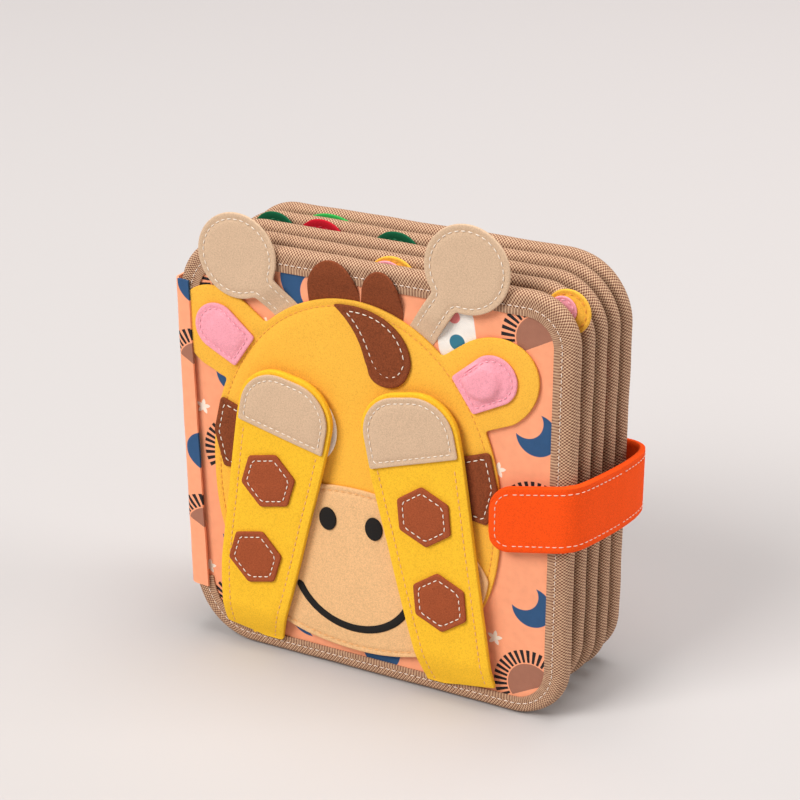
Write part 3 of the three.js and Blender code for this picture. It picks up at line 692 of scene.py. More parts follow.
def stitches(name, seams, material, leaf="front_cover", pitch=3.3, length=2.3, radius=0.24, arch=0.22):
    """Capsules set along seams. A seam is a line of (x, z) with a depth, or of (x, y, z) with its normals."""
    bars = []
    shape = capsule(length, radius, arch)
    for line, outward, closed in seams:
        line = np.asarray(line, float)
        if line.shape[1] == 2:
            line = np.stack([line[:, 0], np.broadcast_to(outward, len(line)), line[:, 1]], -1)
            outward = np.tile([0.0, -1.0, 0.0], (len(line), 1))
        if closed:
            line, outward = np.vstack([line, line[:1]]), np.vstack([outward, outward[:1]])
        lengths = np.concatenate([[0], np.cumsum(np.linalg.norm(np.diff(line, axis=0), axis=1))])
        total = lengths[-1]
        count = max(1, int(round(total / pitch)))
        at = (np.arange(count) + 0.5) * total / count
        at = at + rng.uniform(-0.12, 0.12, count)
        centre, ahead, behind = (
            np.stack([np.interp(place, lengths, axis) for axis in line.T], -1)
            for place in (at, np.clip(at + REACH, 0, total), np.clip(at - REACH, 0, total)))
        along = ahead - behind
        along /= np.linalg.norm(along, axis=1, keepdims=True)
        out = np.stack([np.interp(at, lengths, axis) for axis in outward.T], -1)
        side = np.cross(along, out)
        frames = np.stack([along, np.cross(side, along), side], 1)
        bars.append(np.einsum("rpk,ckj->crpj", shape, frames) + centre[:, None, None])
    bars = placed(np.concatenate(bars), leaf)
    count, rings, around = bars.shape[:3]
    first = (np.arange(count) * rings * around)[:, None, None]
    faces = (ring_quads(rings, around)[None] + first).reshape(-1, 4).tolist()
    ends = np.stack([np.arange(around)[::-1], np.arange(around) + (rings - 1) * around])
    faces += (ends[None] + first).reshape(-1, around).tolist()
    return make_mesh(name, bars.reshape(-1, 3), faces, material)


def inset_line(outline, inset, step=1.0, smoothing=1):
    """An outline drawn in by an inset, for a seam."""
    return drawn_in(smoothed(even(outline, step), smoothing), inset)


# %% [markdown]
# ## Bound leaves
# The tape is folded in half over a leaf's edge. In cross-section it is a C: a flat flange 11 mm wide
# on the front, a puffy fold 8 or 9 mm from front to back, and the same flange. That closed section is
# carried along the leaf's edge from the cloth of the spine round all the corners and back to it. Its
# map runs along the tape and across it, so that the braid follows the corners.

# %% Tape along a leaf
# Millimetres: where the tape stops at the spine cloth, its flange and the narrower one at the foot.
MOUTH_LOW, MOUTH_HIGH = 30.0, 178.0
FLANGE, FOOT = 11.0, 8.5
# Shares of the flange: how far in the fold begins, and where the seam runs.
FOLD_REACH, SEAM_SHARE = 0.34, 0.64
TAPE_STEP = 1.6
# Half the thickness that the tape is folded over.
PLY = {leaf: 3.2 if "cover" in leaf else 2.7 for leaf in LEAVES}


def tape_section(ply):
    """The closed section as (inset, y): a flange with a stitched dip, half an ellipse, and back again."""
    flange = [
        (1.0, 0.1), (1.0, 0.8), (0.93, 1.0), (0.74, 1.1),
        (0.69, 1.03), (SEAM_SHARE, 0.85), (0.59, 1.03), (0.5, 1.2),
    ]
    front = [(inset, -ply - rise) for inset, rise in flange]
    turn = np.linspace(0, math.pi / 2, 14)
    fold = np.stack([FOLD_REACH * (1 - np.sin(turn)), -(ply + 1.25) * np.cos(turn)], -1)
    front = np.vstack([front, fold])
    inner = np.array([(0.9, ply + 0.05), (0.46, ply + 0.05), (0.46, -ply - 0.05), (0.9, -ply - 0.05)])
    return np.vstack([front, front[:-1][::-1] * [1, -1], inner])


def edge_path(leaf):
    """The leaf's edge from the mouth's low end, round the foot, fore edge and top, to the high end."""
    edge = leaf_outline(leaf, 0.0)
    start = np.argmin(np.hypot(edge[:, 0] + LEAF_WIDTH / 2 - 3, edge[:, 1] - MOUTH_LOW))
    edge = np.roll(edge, -start, 0)
    keep = (edge[:, 0] > -LEAF_WIDTH / 2 + 12) | (edge[:, 1] <= MOUTH_LOW) | (edge[:, 1] >= MOUTH_HIGH)
    return even(edge[keep], TAPE_STEP, closed=False)


def bind(leaf, ply):
    """The section carried along the edge: the flange narrows at the foot, and the fold waves a little."""
    path = edge_path(leaf)
    inward = normals(path, closed=False)
    section = tape_section(ply)
    width = FLANGE + (FOOT - FLANGE) * np.clip(inward[:, 1], 0, 1) ** 2 * (path[:, 1] < 60)
    s = np.arange(len(path)) * TAPE_STEP
    phase = rng.uniform(0, 6.28, 4)
    wave = 0.2 + 0.12 * np.sin(s / 9.0 + phase[0]) + 0.08 * np.sin(s / 4.3 + phase[1])
    inset = section[None, :, 0] * width[:, None] + wave[:, None] * np.clip(1 - section[None, :, 0] * 3, 0, 1)
    puff = 0.98 + 0.012 * np.sin(s / 6.1 + phase[2]) + 0.008 * np.sin(s / 3.1 + phase[3])
    y = section[None, :, 1] * np.where(np.abs(section[None, :, 1]) > ply + 0.9, puff[:, None], 1.0)
    flat = path[:, None] + inward[:, None] * inset[..., None]
    around = np.concatenate([[0], np.cumsum(np.linalg.norm(
        np.diff(np.vstack([section, section[:1]]) * [FLANGE, 1], axis=0), axis=1))])
    uv = np.stack(np.broadcast_arrays(s[:, None], around[None]), -1) * MM
    points = placed(np.stack([flat[..., 0], y, flat[..., 1]], -1), leaf)
    sit(ring_mesh(f"{leaf}_tape", points, braid, uv), leaf, [f"{leaf}_binding"])
    seam = path + inward * (width * SEAM_SHARE)[:, None]
    lines = [
        (np.stack([seam[:, 0], np.full(len(seam), side * (ply + 0.92)), seam[:, 1]], -1),
         np.tile([0.0, side, 0.0], (len(seam), 1)), False)
        for side in (-1.0, 1.0)
    ]
    thread = stitches(
        f"{leaf}_tape_stitches", lines, threads["grey"], leaf, pitch=3.2, length=2.2, radius=0.22, arch=0.16)
    sit(thread, leaf)


cover_section = tape_section(PLY["front_cover"])[:-4]
section_width = np.linalg.norm(np.diff(cover_section * [FLANGE, 1], axis=0), axis=1).sum() * MM
braid = braid_tape("braid_tape_cream_rust", section_width)
for leaf, ply in PLY.items():
    bind(leaf, ply)
print("tape is", round(section_width / MM, 1), "mm wide before it is folded")

# %% [markdown]
# ## Cover cloths and padded pages
# Each cover has a printed cotton outside and a plain cotton lining, stretched over a stiff board.
# Each page is a padded felt panel. All are the leaf's outline drawn in under the tape. The cotton
# is nearly flat, with faint waves where the tape draws it in; the pages swell a little.


# %% Leaf cloths
# Millimetres in from the leaf's edge: cloths and boards end inside the folded tape.
CLOTH_INSET, BOARD_INSET = 5.2, 6.5


def from_tape(x, z):
    """How far a point lies inside the tape's flange."""
    return np.minimum.reduce([LEAF_WIDTH / 2 - FLANGE - np.abs(x), z - FOOT, LEAF_HEIGHT - FLANGE - z])


def ripple(x, z, _share):
    """Waves beside the tape: two slanting sines, times e to the minus distance over 9 mm."""
    edge = from_tape(x, z)
    near = np.exp(-np.clip(edge, 0, 60) / 9) * (edge > -3)
    return 0.08 * near * (np.sin((x + z) / 5.1) + 0.6 * np.sin((x - z) / 3.4 + 1))


def swell(x, z, share):
    """The pad of a page: its front rises by up to 0.6 mm away from the tape, and its back only ripples."""
    return ripple(x, z, share) - 0.6 * share * (1 - np.exp(-np.clip(from_tape(x, z), 0, 60) / 14))


def leaf_cloth(name, leaf, back, thickness, material, node, relief=ripple):
    """A ply of a leaf: the leaf's outline drawn in under the tape."""
    piece = felt_piece(
        name, leaf_outline(leaf, CLOTH_INSET), back, thickness, material, leaf, relief=relief, step=2.0,
        spacing=3.5, mapped=True)
    return sit(piece, leaf, [node])


for leaf, face_back, lining_back in (("front_cover", -2.05, 3.2), ("back_cover", 3.2, -2.05)):
    outline = leaf_outline(leaf, BOARD_INSET)
    board = felt_piece(f"{leaf}_stiff_board", outline, 2.0, 4.0, stiff_board, leaf, step=2.0, spacing=20)
    sit(board, leaf, [f"{leaf}_board"])
    face = leaf_cloth(f"{leaf}_cotton", leaf, face_back, 1.1, cotton_print, f"{leaf}_face")
    lining = leaf_cloth(
        f"{leaf}_lining_cloth", leaf, lining_back, 1.1, cotton_lining, f"{leaf}_lining")
for number, slot in ((1, "blue_page"), (2, "cream_page"), (3, "green_page")):
    leaf = f"page_{number}"
    panel = leaf_cloth(f"{leaf}_pad", leaf, 2.6, 5.0, felts[slot], f"{leaf}_panel", swell)

# %% [markdown]
# ## Spine
# One strip of the printed cotton runs over the spine and folds between the leaves. It goes round
# onto both covers as a narrow lip. It is made in pieces that meet in the middle of each leaf's back:
# the two lips ride on the covers, and each piece that crosses a fold stays fixed in the frame.

# %% Spine cloth
# Millimetres: the cloth's place and thickness, its lower and upper edge, the step along it, and the
# distance from one leaf to the next.
SPINE_X, SPINE_THICK = -100.9, 1.0
SPINE_LOW, SPINE_HIGH = 26.0, 182.5
SPINE_STEP, LEAF_PITCH = 0.7, 14.5


def strip(name, path, leaf, used, body, nodes=()):
    """A thin closed band: the path moved to both sides by half the thickness, carried from low to high."""
    path = even(path, SPINE_STEP, closed=False)
    side = normals(path, closed=False) * SPINE_THICK / 2
    loop = np.vstack([path + side, (path - side)[::-1]])
    z = np.linspace(SPINE_LOW, SPINE_HIGH, 60)
    # The band leans in with its leaf, its lip is about a third wider at the foot, and it waves a little.
    spread = 1 + 0.35 * (1 - z / SPINE_HIGH)
    wave = lean(-LEAF_WIDTH / 2, z) + 0.06 * np.sin(z / 7.0 + 1.3) + 0.05 * np.sin(z / 3.7)
    x = SPINE_X + (loop[None, :, 0] - SPINE_X) * spread[:, None] + wave[:, None]
    rings = np.stack(np.broadcast_arrays(x, loop[None, :, 1], z[:, None]), -1)
    length = used + np.arange(len(path)) * SPINE_STEP
    around = np.concatenate([length, length[::-1], length[:1]])
    uv = np.stack(np.broadcast_arrays(around[None], z[:, None]), -1) * MM
    piece = ring_mesh(name, placed(rings, leaf), cotton_print, uv, band=True)
    sit(piece, body, nodes)
    return piece, float(length[-1])


def fold_path():
    """From the middle of one leaf's back to the middle of the next, dipping 1.3 mm at the fold."""
    y = np.linspace(0, LEAF_PITCH, 41)
    dip = 1.3 * np.exp(-(((y - LEAF_PITCH / 2) / 1.3) ** 2))
    return np.stack([SPINE_X + dip, y], -1)


def lip_path(sign):
    """From the lip's free edge on the cover's face, round the corner, to the middle of the cover's back."""
    turn = np.linspace(0, math.pi / 2, 10)
    radius = 3.4
    corner_x, corner_y = SPINE_X + radius, -4.9 + radius
    arc = np.stack([corner_x - radius * np.sin(turn), corner_y - radius * np.cos(turn)], -1)
    line = np.vstack([[(-92.9, -5.6), (-94.6, -5.3)], arc, [(SPINE_X, 0.0)]])
    return line * [1, -sign]


# The print runs on from band to band: each one's map starts where the one before it ended.
used = 10.0
_, used = strip("spine_front_lip", lip_path(-1), "front_cover", used, "front_cover", ["front_cover_spine"])
for ahead, behind in zip(LEAVES[:-1], LEAVES[1:]):
    nodes = [f"{behind}_spine"] if behind != "back_cover" else []
    piece, used = strip(f"spine_fold_{ahead}", fold_path(), ahead, used, None, nodes)
    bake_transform(piece)
_, used = strip("spine_rear_lip", lip_path(1)[::-1], "back_cover", used, "back_cover", ["back_cover_spine"])
print("spine cloth is", round(used - 10, 1), "mm wide")

# %% [markdown]
# ## Giraffe: head and ears
# The head and both ears are one sheet of yellow felt, sewn on with a yellow thread that follows the
# round of the head and runs on across the ears. The thread is darker than the felt, which paints the
# shade in the dips of its stitches. The outline is put together from an oval with a squarer chin and
# two ears on slanting axes. Two outlines are merged by keeping the points of each that lie outside
# the other.

# %% Head outline
# Millimetres: the face's middle; the backs of the head, of what lies on it and of the arms; and the
# middle, half width and rise of the head's oval.
FACE_X = -7.5
HEAD_BACK, FEATURE_BACK, ARM_BACK = -3.5, -5.3, -7.7
HEAD_Z, HEAD_HALF, HEAD_RISE = 96, 74, 91
head_oval = oval(FACE_X, HEAD_Z, HEAD_HALF, HEAD_RISE, 80, 2.5)


def ear_shape(side):
    """Half an oval on an axis that rises 35 degrees, closed by straight sides inside the head."""
    t = np.linspace(-math.pi / 2, math.pi / 2, 181)
    tip = np.stack([25 * np.cos(t), 20.5 * np.sin(t)], -1)
    shape = turned(np.vstack([tip, [(-26, 20), (-26, -15)]]), 35) + [67, 160]
    shape = shape * [side, 1] + [FACE_X, 0]
    return shape if side > 0 else shape[::-1]


def merge(base, lobe):
    """The union of two outlines that cross twice: the part of each that lies outside the other."""
    parts = []
    for line, other in ((base, lobe), (lobe, base)):
        outside = ~inside_polygon(line, other)
        start = np.flatnonzero(outside & ~np.roll(outside, 1))[0]
        parts.append(np.roll(line, -start, 0)[np.roll(outside, -start)])
    return np.vstack(parts)


head_outline = even(head_oval, 0.5)
for side in (1, -1):
    head_outline = even(merge(head_outline, even(ear_shape(side), 0.5)), 0.5)
# The left ear is cut off straight where it comes to the spine.
head_outline[:, 0] = np.maximum(head_outline[:, 0], -92.4)
head_outline = smoothed(head_outline, 2)
head_line = inset_line(head_oval, 3.2)
laid_felt(
    "giraffe_head_felt", head_outline, "giraffe_head", "yellow_felt", HEAD_BACK, 1.5, step=0.8,
    furrows=[head_line])
# The thread's darker tone paints the shade in the dips of the stitches.
head_seam = stitches(
    "giraffe_head_stitches", [(head_line, HEAD_BACK - 1.3, True)], threads["yellow"], pitch=3.0, length=2.2,
    arch=0.14)
sit(head_seam, "front_cover")
print("head outline:", len(head_outline), "points")

# %% [markdown]
# ## Giraffe: muzzle, patches, forelock and inner ears
# These are smaller felts on top of the head. Each has its own thread: peach on the muzzle, white on
# the brown patches and the forelock, pink in the ears.


# %% Face pieces
def applique(name, outline, node, slot, thread, back=FEATURE_BACK, thickness=1.2, inset=3.2, smoothing=1,
             relief=None, pitch=3.4, length=2.3, body="front_cover", seam_lines=None, spacing=5.0):
    """A felt piece with its line of stitches, both on one body."""
    laid_felt(
        name, outline, node, slot, back, thickness, body, seam=inset, relief=relief, smoothing=smoothing,
        step=0.8, spacing=spacing)
    seams = []
    for line in seam_lines or [inset_line(outline, inset, smoothing=smoothing)]:
        depth = np.full(len(line), back - thickness + SUNK)
        if relief is not None:
            depth = depth + relief(line[:, 0], line[:, 1], 1.0)
        seams.append((line, depth, seam_lines is None))
    leaf = body if body in LEAVES else "front_cover"
    sit(stitches(f"{name}_stitches", seams, threads[thread], leaf, pitch, length, 0.25), body)


# Below 70 mm the muzzle's cheeks are drawn in along a parabola, so that they keep inside the head.
MUZZLE_X = FACE_X + 1.5
muzzle_outline = oval(MUZZLE_X, 54.5, 70, 42)
cheek_reach = 68 - 0.0112 * np.clip(70 - muzzle_outline[:, 1], 0, None) ** 2
muzzle_outline[:, 0] = MUZZLE_X + np.clip(muzzle_outline[:, 0] - MUZZLE_X, -cheek_reach, cheek_reach)
applique("giraffe_muzzle_felt", muzzle_outline, "giraffe_muzzle", "muzzle_felt", "peach", inset=2.6)
EAR_TILT, EAR_ROOT = 34, [55, 153]
for name, side in (("left", -1), ("right", 1)):
    flip = np.array([side, 1.0])
    corners = np.array([(47.5, 121), (47.5, 96), (68.2, 93), (72.8, 111), (68.6, 128.8)])
    order = slice(None) if side > 0 else slice(None, None, -1)
    patch = rounded((corners * flip + [FACE_X, 0])[order], 1.6, 6)
    applique(f"{name}_patch_felt", patch, f"{name}_side_patch", "brown_felt", "white", inset=2.6)
    # The inner ear is shaped like a tombstone: straight sides, a round tip, and the ear's own tilt.
    t = np.linspace(-math.pi / 2, math.pi / 2, 41)
    tip = np.stack([29 - 11.6 + 11.6 * np.cos(t), 11.6 * np.sin(t)], -1)
    tomb = np.vstack([tip, [(0.6, 9.6), (0, 9.0), (0, -9.0), (0.6, -9.6)]])
    tomb = (turned(tomb, EAR_TILT) + EAR_ROOT) * flip + [FACE_X, 0]
    middle = (turned([[12.6, 2.0]], EAR_TILT)[0] + EAR_ROOT) * flip + [FACE_X, 0]

    def pillow(x, z, share, middle=middle, rise=2.3 if side > 0 else 0.6):
        """The felt stands up inside its seam: e to the minus tenth power of distance over 8.7 mm."""
        return -rise * share * np.exp(-(np.hypot(x - middle[0], z - middle[1]) / 8.7) ** 10)

    applique(
        f"{name}_inner_ear_felt", tomb[order], f"{name}_inner_ear", "pink_felt", "pink", inset=2.5,
        relief=pillow, pitch=3.0, length=2.0, spacing=1.0)


def bezier(points, count=30):
    """The points' weights are the binomial row times powers of t and 1 - t."""
    points = np.asarray(points, float)
    degree = len(points) - 1
    t = np.linspace(0, 1, count)[:, None]
    return sum(math.comb(degree, k) * (1 - t) ** (degree - k) * t ** k * points[k] for k in range(degree + 1))


forelock_outline = np.vstack([
    bezier([(-8.7, 184.4), (7.5, 172), (6.5, 158), (8.5, 158)]),
    bezier([(8.5, 158), (8.5, 150), (17.5, 149.5)])[1:],
    bezier([(17.5, 149.5), (27.5, 149.5), (29.9, 162)])[1:],
    bezier([(29.9, 162), (29.5, 178), (12.5, 188), (-8.7, 184.4)])[1:-1],
]) + [FACE_X, 0]
forelock_seams = [
    bezier([(-2, 182), (10.5, 172), (10, 158), (12, 155), (17, 153), (24, 152.5), (26.5, 162)], 80),
    bezier([(-1, 182.5), (12, 183.5), (24, 178), (26.7, 164)], 60),
]
applique(
    "giraffe_forelock_felt", forelock_outline, "giraffe_forelock", "brown_felt", "white", inset=2.8,
    smoothing=3, seam_lines=[line + [FACE_X, 0] for line in forelock_seams])
print("face pieces done")

# %% [markdown]
# ## Giraffe: nostrils, smile and eyes
# The nostrils are small black ovals. The smile is a thick black cord, couched flat onto the muzzle.
# The eyes are white discs with dark pupils; the folded arms hide them until they are opened.


# %% Smile, nostrils and eyes
CORD_STEP = 0.6


def flat_cord(name, line, depth, across, out, material):
    """An ellipse of half widths across and out, carried along a line and drawn small at its ends."""
    line = even(line, CORD_STEP, closed=False)
    side = normals(line, closed=False)
    s = np.linspace(0, 1, len(line))
    length = len(line) * CORD_STEP
    end = np.sqrt(np.clip(np.minimum(s, 1 - s) * length / across, 0.04, 1))
    angle = np.linspace(0, 2 * math.pi, 16, endpoint=False)
    offset = side[:, None] * (end[:, None] * across * np.cos(angle)[None])[..., None]
    y = depth - out * end[:, None] * np.sin(angle)[None]
    flat = line[:, None] + offset
    return ring_mesh(name, placed(np.stack([flat[..., 0], y, flat[..., 1]], -1), "front_cover"), material)


arc = np.radians(np.linspace(-159, -16, 96))
smile_line = np.stack([FACE_X + 0.5 + 31 * np.cos(arc), 53 + 28.5 * np.sin(arc)], -1)
smile = flat_cord("giraffe_smile_cord", smile_line, -6.75, 1.9, 0.6, felts["black_felt"])
sit(smile, "front_cover", ["giraffe_smile"])
# Each felt: finish, x beside the face's middle and its shift, z, half sizes, back, thickness, seam, step.
FACE_FELTS = {
    "nostril": ("black_felt", 12, -0.3, 78.7, (4.5, 5.8), -6.6, 0.9, None, 0.5),
    "eye": ("white_felt", 27, 0.0, 122.5, (19.5, 19.5), FEATURE_BACK, 1.2, 2.5, 1.0),
    "pupil": ("black_felt", 25.5, 0.0, 121, (10.5, 11.5), -6.55, 0.9, None, 1.0),
    "glint": ("white_felt", 25.5, 3.5, 125.5, (2.8, 2.8), -7.2, 0.5, None, 0.5),
}
for name, side in (("left", -1), ("right", 1)):
    for part, (slot, apart, shift, z, half_sizes, back, thickness, seam, step) in FACE_FELTS.items():
        outline = oval(FACE_X + side * apart + shift, z, *half_sizes)
        node = f"{name}_{part}" if part in ("nostril", "eye") else None
        laid_felt(f"{name}_{part}_felt", outline, node, slot, back, thickness, seam=seam, step=step)
print("smile:", len(smile.data.vertices), "points")

# %% [markdown]
# ## Giraffe: horns and mane
# A horn is a lollipop of beige felt, and the mane is two brown tufts. They are sewn under the top of
# the head and stand up over the tape, so each one leans back near the head until it lies under its
# edge. The lean is a depth that falls off with the distance from the head's outline.


# %% Horns and tufts
# Millimetres: a horn's back and thickness, its disc's radius, half its stem, and its seam's inset.
HORN_BACK, HORN_THICK = -5.3, 1.5
HORN_DISC, HALF_STEM, HORN_SEAM = 20.2, 6.75, 2.9
# The share of the head's size at which horns and tufts end: about 6 mm inside its edge.
UNDER_HEAD = 1 - 6.0 / 85


def head_distance(x, z):
    """How far a point lies outside the head's oval, measured along the ray from the head's middle."""
    u, v = (x - FACE_X) / HEAD_HALF, (z - HEAD_Z) / HEAD_RISE
    return (np.hypot(u, v) - 1) * np.hypot(HEAD_HALF * u, HEAD_RISE * v) / np.maximum(np.hypot(u, v), 1e-6)


def tuck(x, z, share_of_felt=1.0):
    """At the head's edge the back goes 2 mm back and the front 3.3 mm, and none from 14 mm outside it."""
    share = np.clip(1 - head_distance(x, z) / 14, 0, 1)
    return (2.0 + 1.3 * share_of_felt) * share * share * (3 - 2 * share)


def horn_outline(top, root):
    """A disc on a straight stem, turned to the slant of the line from its root to its top."""
    reach = math.hypot(top[0] - root[0], top[1] - root[1])
    slant = math.degrees(math.atan2(top[0] - root[0], top[1] - root[1]))
    opening = math.asin(HALF_STEM / HORN_DISC)
    t = np.linspace(-math.pi / 2 + opening, 1.5 * math.pi - opening, 160)
    disc = np.stack([HORN_DISC * np.cos(t), HORN_DISC * np.sin(t)], -1)
    shape = np.vstack([disc, [(-HALF_STEM, -reach - 6), (HALF_STEM, -reach - 6)]])
    return turned(even(shape, 0.6), -slant) + [FACE_X + top[0], top[1]]


def cut_at_head(outline):
    """Keeps an outline's points outside the head, and draws those inside out to just under its edge."""
    x, z = outline[:, 0], outline[:, 1]
    u, v = (x - FACE_X) / HEAD_HALF, (z - HEAD_Z) / HEAD_RISE
    size = np.hypot(u, v)
    pushed = np.where(size < UNDER_HEAD, UNDER_HEAD / np.maximum(size, 1e-6), 1.0)
    return np.stack([FACE_X + (x - FACE_X) * pushed, HEAD_Z + (z - HEAD_Z) * pushed], -1)


for name, top, root in (("left", (-57.5, 199), (-30.5, 173)), ("right", (56.5, 211), (33.5, 176))):
    outline = even(smoothed(even(cut_at_head(horn_outline(top, root)), 0.6), 4), 0.6)
    laid_felt(
        f"{name}_horn_felt", outline, f"{name}_horn", "beige_felt", HORN_BACK, HORN_THICK, seam=HORN_SEAM,
        relief=tuck, step=0.6, spacing=2.0)
    # The seam stops at the head, and starts at the far side of the gap that this leaves.
    seam = inset_line(outline, HORN_SEAM, 0.6)
    seam = seam[head_distance(seam[:, 0], seam[:, 1]) > 1.2]
    gap = np.argmax(np.linalg.norm(np.roll(seam, -1, 0) - seam, axis=1))
    seam = np.roll(seam, -gap - 1, 0)
    depth = HORN_BACK - HORN_THICK + SUNK + tuck(seam[:, 0], seam[:, 1])
    sewn = stitches(f"{name}_horn_stitches", [(seam, depth, False)], threads["white"], radius=0.25)
    sit(sewn, "front_cover")
for name, x, z, half_width, half_height in (
        ("left", -9.5, 186, 13, 18.5), ("right", 14.5, 185.5, 10.5, 17.6)):
    outline = even(cut_at_head(oval(FACE_X + x, z, half_width, half_height)), 0.6)
    laid_felt(
        f"{name}_tuft_felt", outline, f"{name}_mane_tuft", "brown_felt", HORN_BACK, HORN_THICK, relief=tuck,
        step=0.6, spacing=1.6, smoothing=3)
print("horns and tufts done")

# %% [markdown]
# ## Arms
# An arm is a thick felt flap, sewn under the tape at the foot of the cover, that folds down off the
# eye. It leans inwards by 11.3 degrees. It bends at its root, so its faces are filled with points
# 2 mm apart. The hoof is a second felt on its end, and two hexagons are sewn on its length.

# %% Arm shape
ARM_LEAN, ARM_THICK, ARM_ROOT_Z, ARM_CORNER = 11.3, 3.0, 8.7, 20
# Each arm: its side, its root's x, its length, where its hoof begins and that edge's tilt in degrees,
# its spots' place across it, and how far its left and its right side lean in at the root.
ARMS = {
    "left": {
        "side": -1, "root": -63.5, "length": 141.5, "hoof": 110.5, "tilt": 2.0, "spot": -2.0,
        "lean_in": (4.2, 0.2),
    },
    "right": {
        "side": 1, "root": 48.5, "length": 144.5, "hoof": 111.5, "tilt": 6.5, "spot": 0.3,
        "lean_in": (0.0, 1.5),
    },
}


def arm_half_width(v):
    """Straight lines between eight chosen half widths: narrow at the root and wider towards the hoof."""
    return np.interp(v, [0, 16, 32, 51, 70, 91, 113, 200], [17.0, 18.4, 19.8, 20.9, 21.8, 23.1, 24.2, 24.4])


def arm_outline(length, margin=0.0, start=0.0, tilt=0.0):
    """Up the right side, over a top with corners of 20 mm, down the left side; about the arm's own root."""
    shoulder = length - ARM_CORNER
    v = np.linspace(start, shoulder, 60)
    half = arm_half_width(v) - margin
    top = arm_half_width(shoulder) - ARM_CORNER
    t = np.linspace(0, math.pi / 2, 16)[1:]
    radius = ARM_CORNER - margin
    right = np.vstack([
        np.stack([half, v], -1),
        np.stack([top + radius * np.cos(t), shoulder + radius * np.sin(t)], -1),
    ])
    shape = np.vstack([right, right[::-1] * [-1, 1]])
    # A tilted lower edge: points near the start move along the arm by their own x times the tilt.
    near = np.clip(1 - (shape[:, 1] - start) / 12, 0, 1)
    shape[:, 1] += shape[:, 0] * math.tan(math.radians(tilt)) * near
    return shape


def arm_place(points, arm):
    """From the arm's own axes to the leaf's: each side leans in near the root, then all turns and moves."""
    points = np.array(points, float)
    near = np.clip(1 - points[:, 1] / 38, 0, 1) ** 1.5
    points[:, 0] += near * np.where(points[:, 0] < 0, *arm["lean_in"])
    return turned(points, arm["side"] * ARM_LEAN) + [arm["root"], ARM_ROOT_Z]


def dive(x, z, share_of_felt=1.0):
    """At the root the back goes 3.2 mm back and the front 4.6 mm, down to the tape; none from 15 mm up."""
    share = np.clip(1 - (z - ARM_ROOT_Z) / 15, 0, 1)
    return (3.2 + 1.4 * share_of_felt) * share ** 1.4


# %% Arms, hoofs and spots
HOOF_BACK, HOOF_THICK, HOOF_MARGIN, HOOF_SEAM = ARM_BACK - ARM_THICK - 0.25, 1.2, 1.6, 2.7
for name, arm in ARMS.items():
    body = f"{name}_arm"
    outline = arm_place(even(arm_outline(arm["length"]), 0.8), arm)
    outline[:, 1] = np.maximum(outline[:, 1], ARM_ROOT_Z - 1.6)
    edge_seams = []
    for sign in (1, -1):
        v = np.linspace(1.5, arm["hoof"] - 3, 110)
        edge_seams.append(arm_place(np.stack([sign * (arm_half_width(v) - 4.4), v], -1), arm))
    flap = felt_piece(
        f"{name}_arm_felt", outline, ARM_BACK, ARM_THICK, felts["arm_felt"], relief=dive, spacing=2.0,
        furrows=edge_seams)
    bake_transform(flap)
    sit(flap, None, [f"{name}_arm"])

    seams = [(line, ARM_BACK - ARM_THICK + 0.2 + dive(line[:, 0], line[:, 1]), False) for line in edge_seams]
    sewn = stitches(f"{name}_arm_stitches", seams, threads["peach"])
    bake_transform(sewn)

    hoof = arm_outline(arm["length"], HOOF_MARGIN, arm["hoof"], arm["side"] * arm["tilt"])
    hoof = arm_place(even(hoof, 0.8), arm)
    laid_felt(
        f"{name}_hoof_felt", hoof, f"{name}_hoof", "beige_felt", HOOF_BACK, HOOF_THICK, body, seam=HOOF_SEAM,
        step=0.8)
    line = inset_line(hoof, HOOF_SEAM, 0.8)
    sewn = stitches(
        f"{name}_hoof_stitches", [(line, HOOF_BACK - HOOF_THICK + SUNK, True)], threads["white"], pitch=3.2,
        length=2.2)
    sit(sewn, body)
    for spot, v in (("upper", 86), ("lower", 44)):
        corner = np.radians(np.arange(6) * 60 - 6)
        hexagon = np.stack([14.8 * np.sin(-corner), 14.8 * np.cos(-corner)], -1)
        hexagon = arm_place(rounded(hexagon, 1.2, 5) + [arm["spot"], v], arm)
        applique(
            f"{name}_{spot}_spot_felt", hexagon, f"{name}_{spot}_spot", "rust_felt", "white", back=HOOF_BACK,
            inset=HOOF_SEAM, body=body, pitch=3.2, length=2.2)
    pad = arm_place(rounded([(-9, 129), (9, 129), (9, 136), (-9, 136)], 1.2, 5), arm)
    laid_felt(f"{name}_hooks", pad, f"{name}_hook_pad", "hook_tape", -6.8, 0.8, body)
print("arms done")

# %% [markdown]
# ## Closing strap
# The strap is a doubled orange felt band, sewn to the back cover, that goes round the fore edge in
# a wide curve to the front. It is one path seen from above, with the band's section carried along
# it. The path is cut in two in the middle of the fore edge, and both halves stay fixed in the frame.

# %% Strap path
# Millimetres: the band's thickness, half its width, its seams from its middle, and its tip and corners.
STRAP_THICK, STRAP_HALF, STRAP_SEAM, TIP_X, TIP_ROUND = 3.0, 15.9, 12.5, 62.5, 10.0
# The band's middle lies two leaves from page 2, and then what is under it and half its own thickness.
FRONT_Y = -2 * LEAF_PITCH - 6.8 - STRAP_THICK / 2
REAR_Y = 2 * LEAF_PITCH + 5.3 + STRAP_THICK / 2


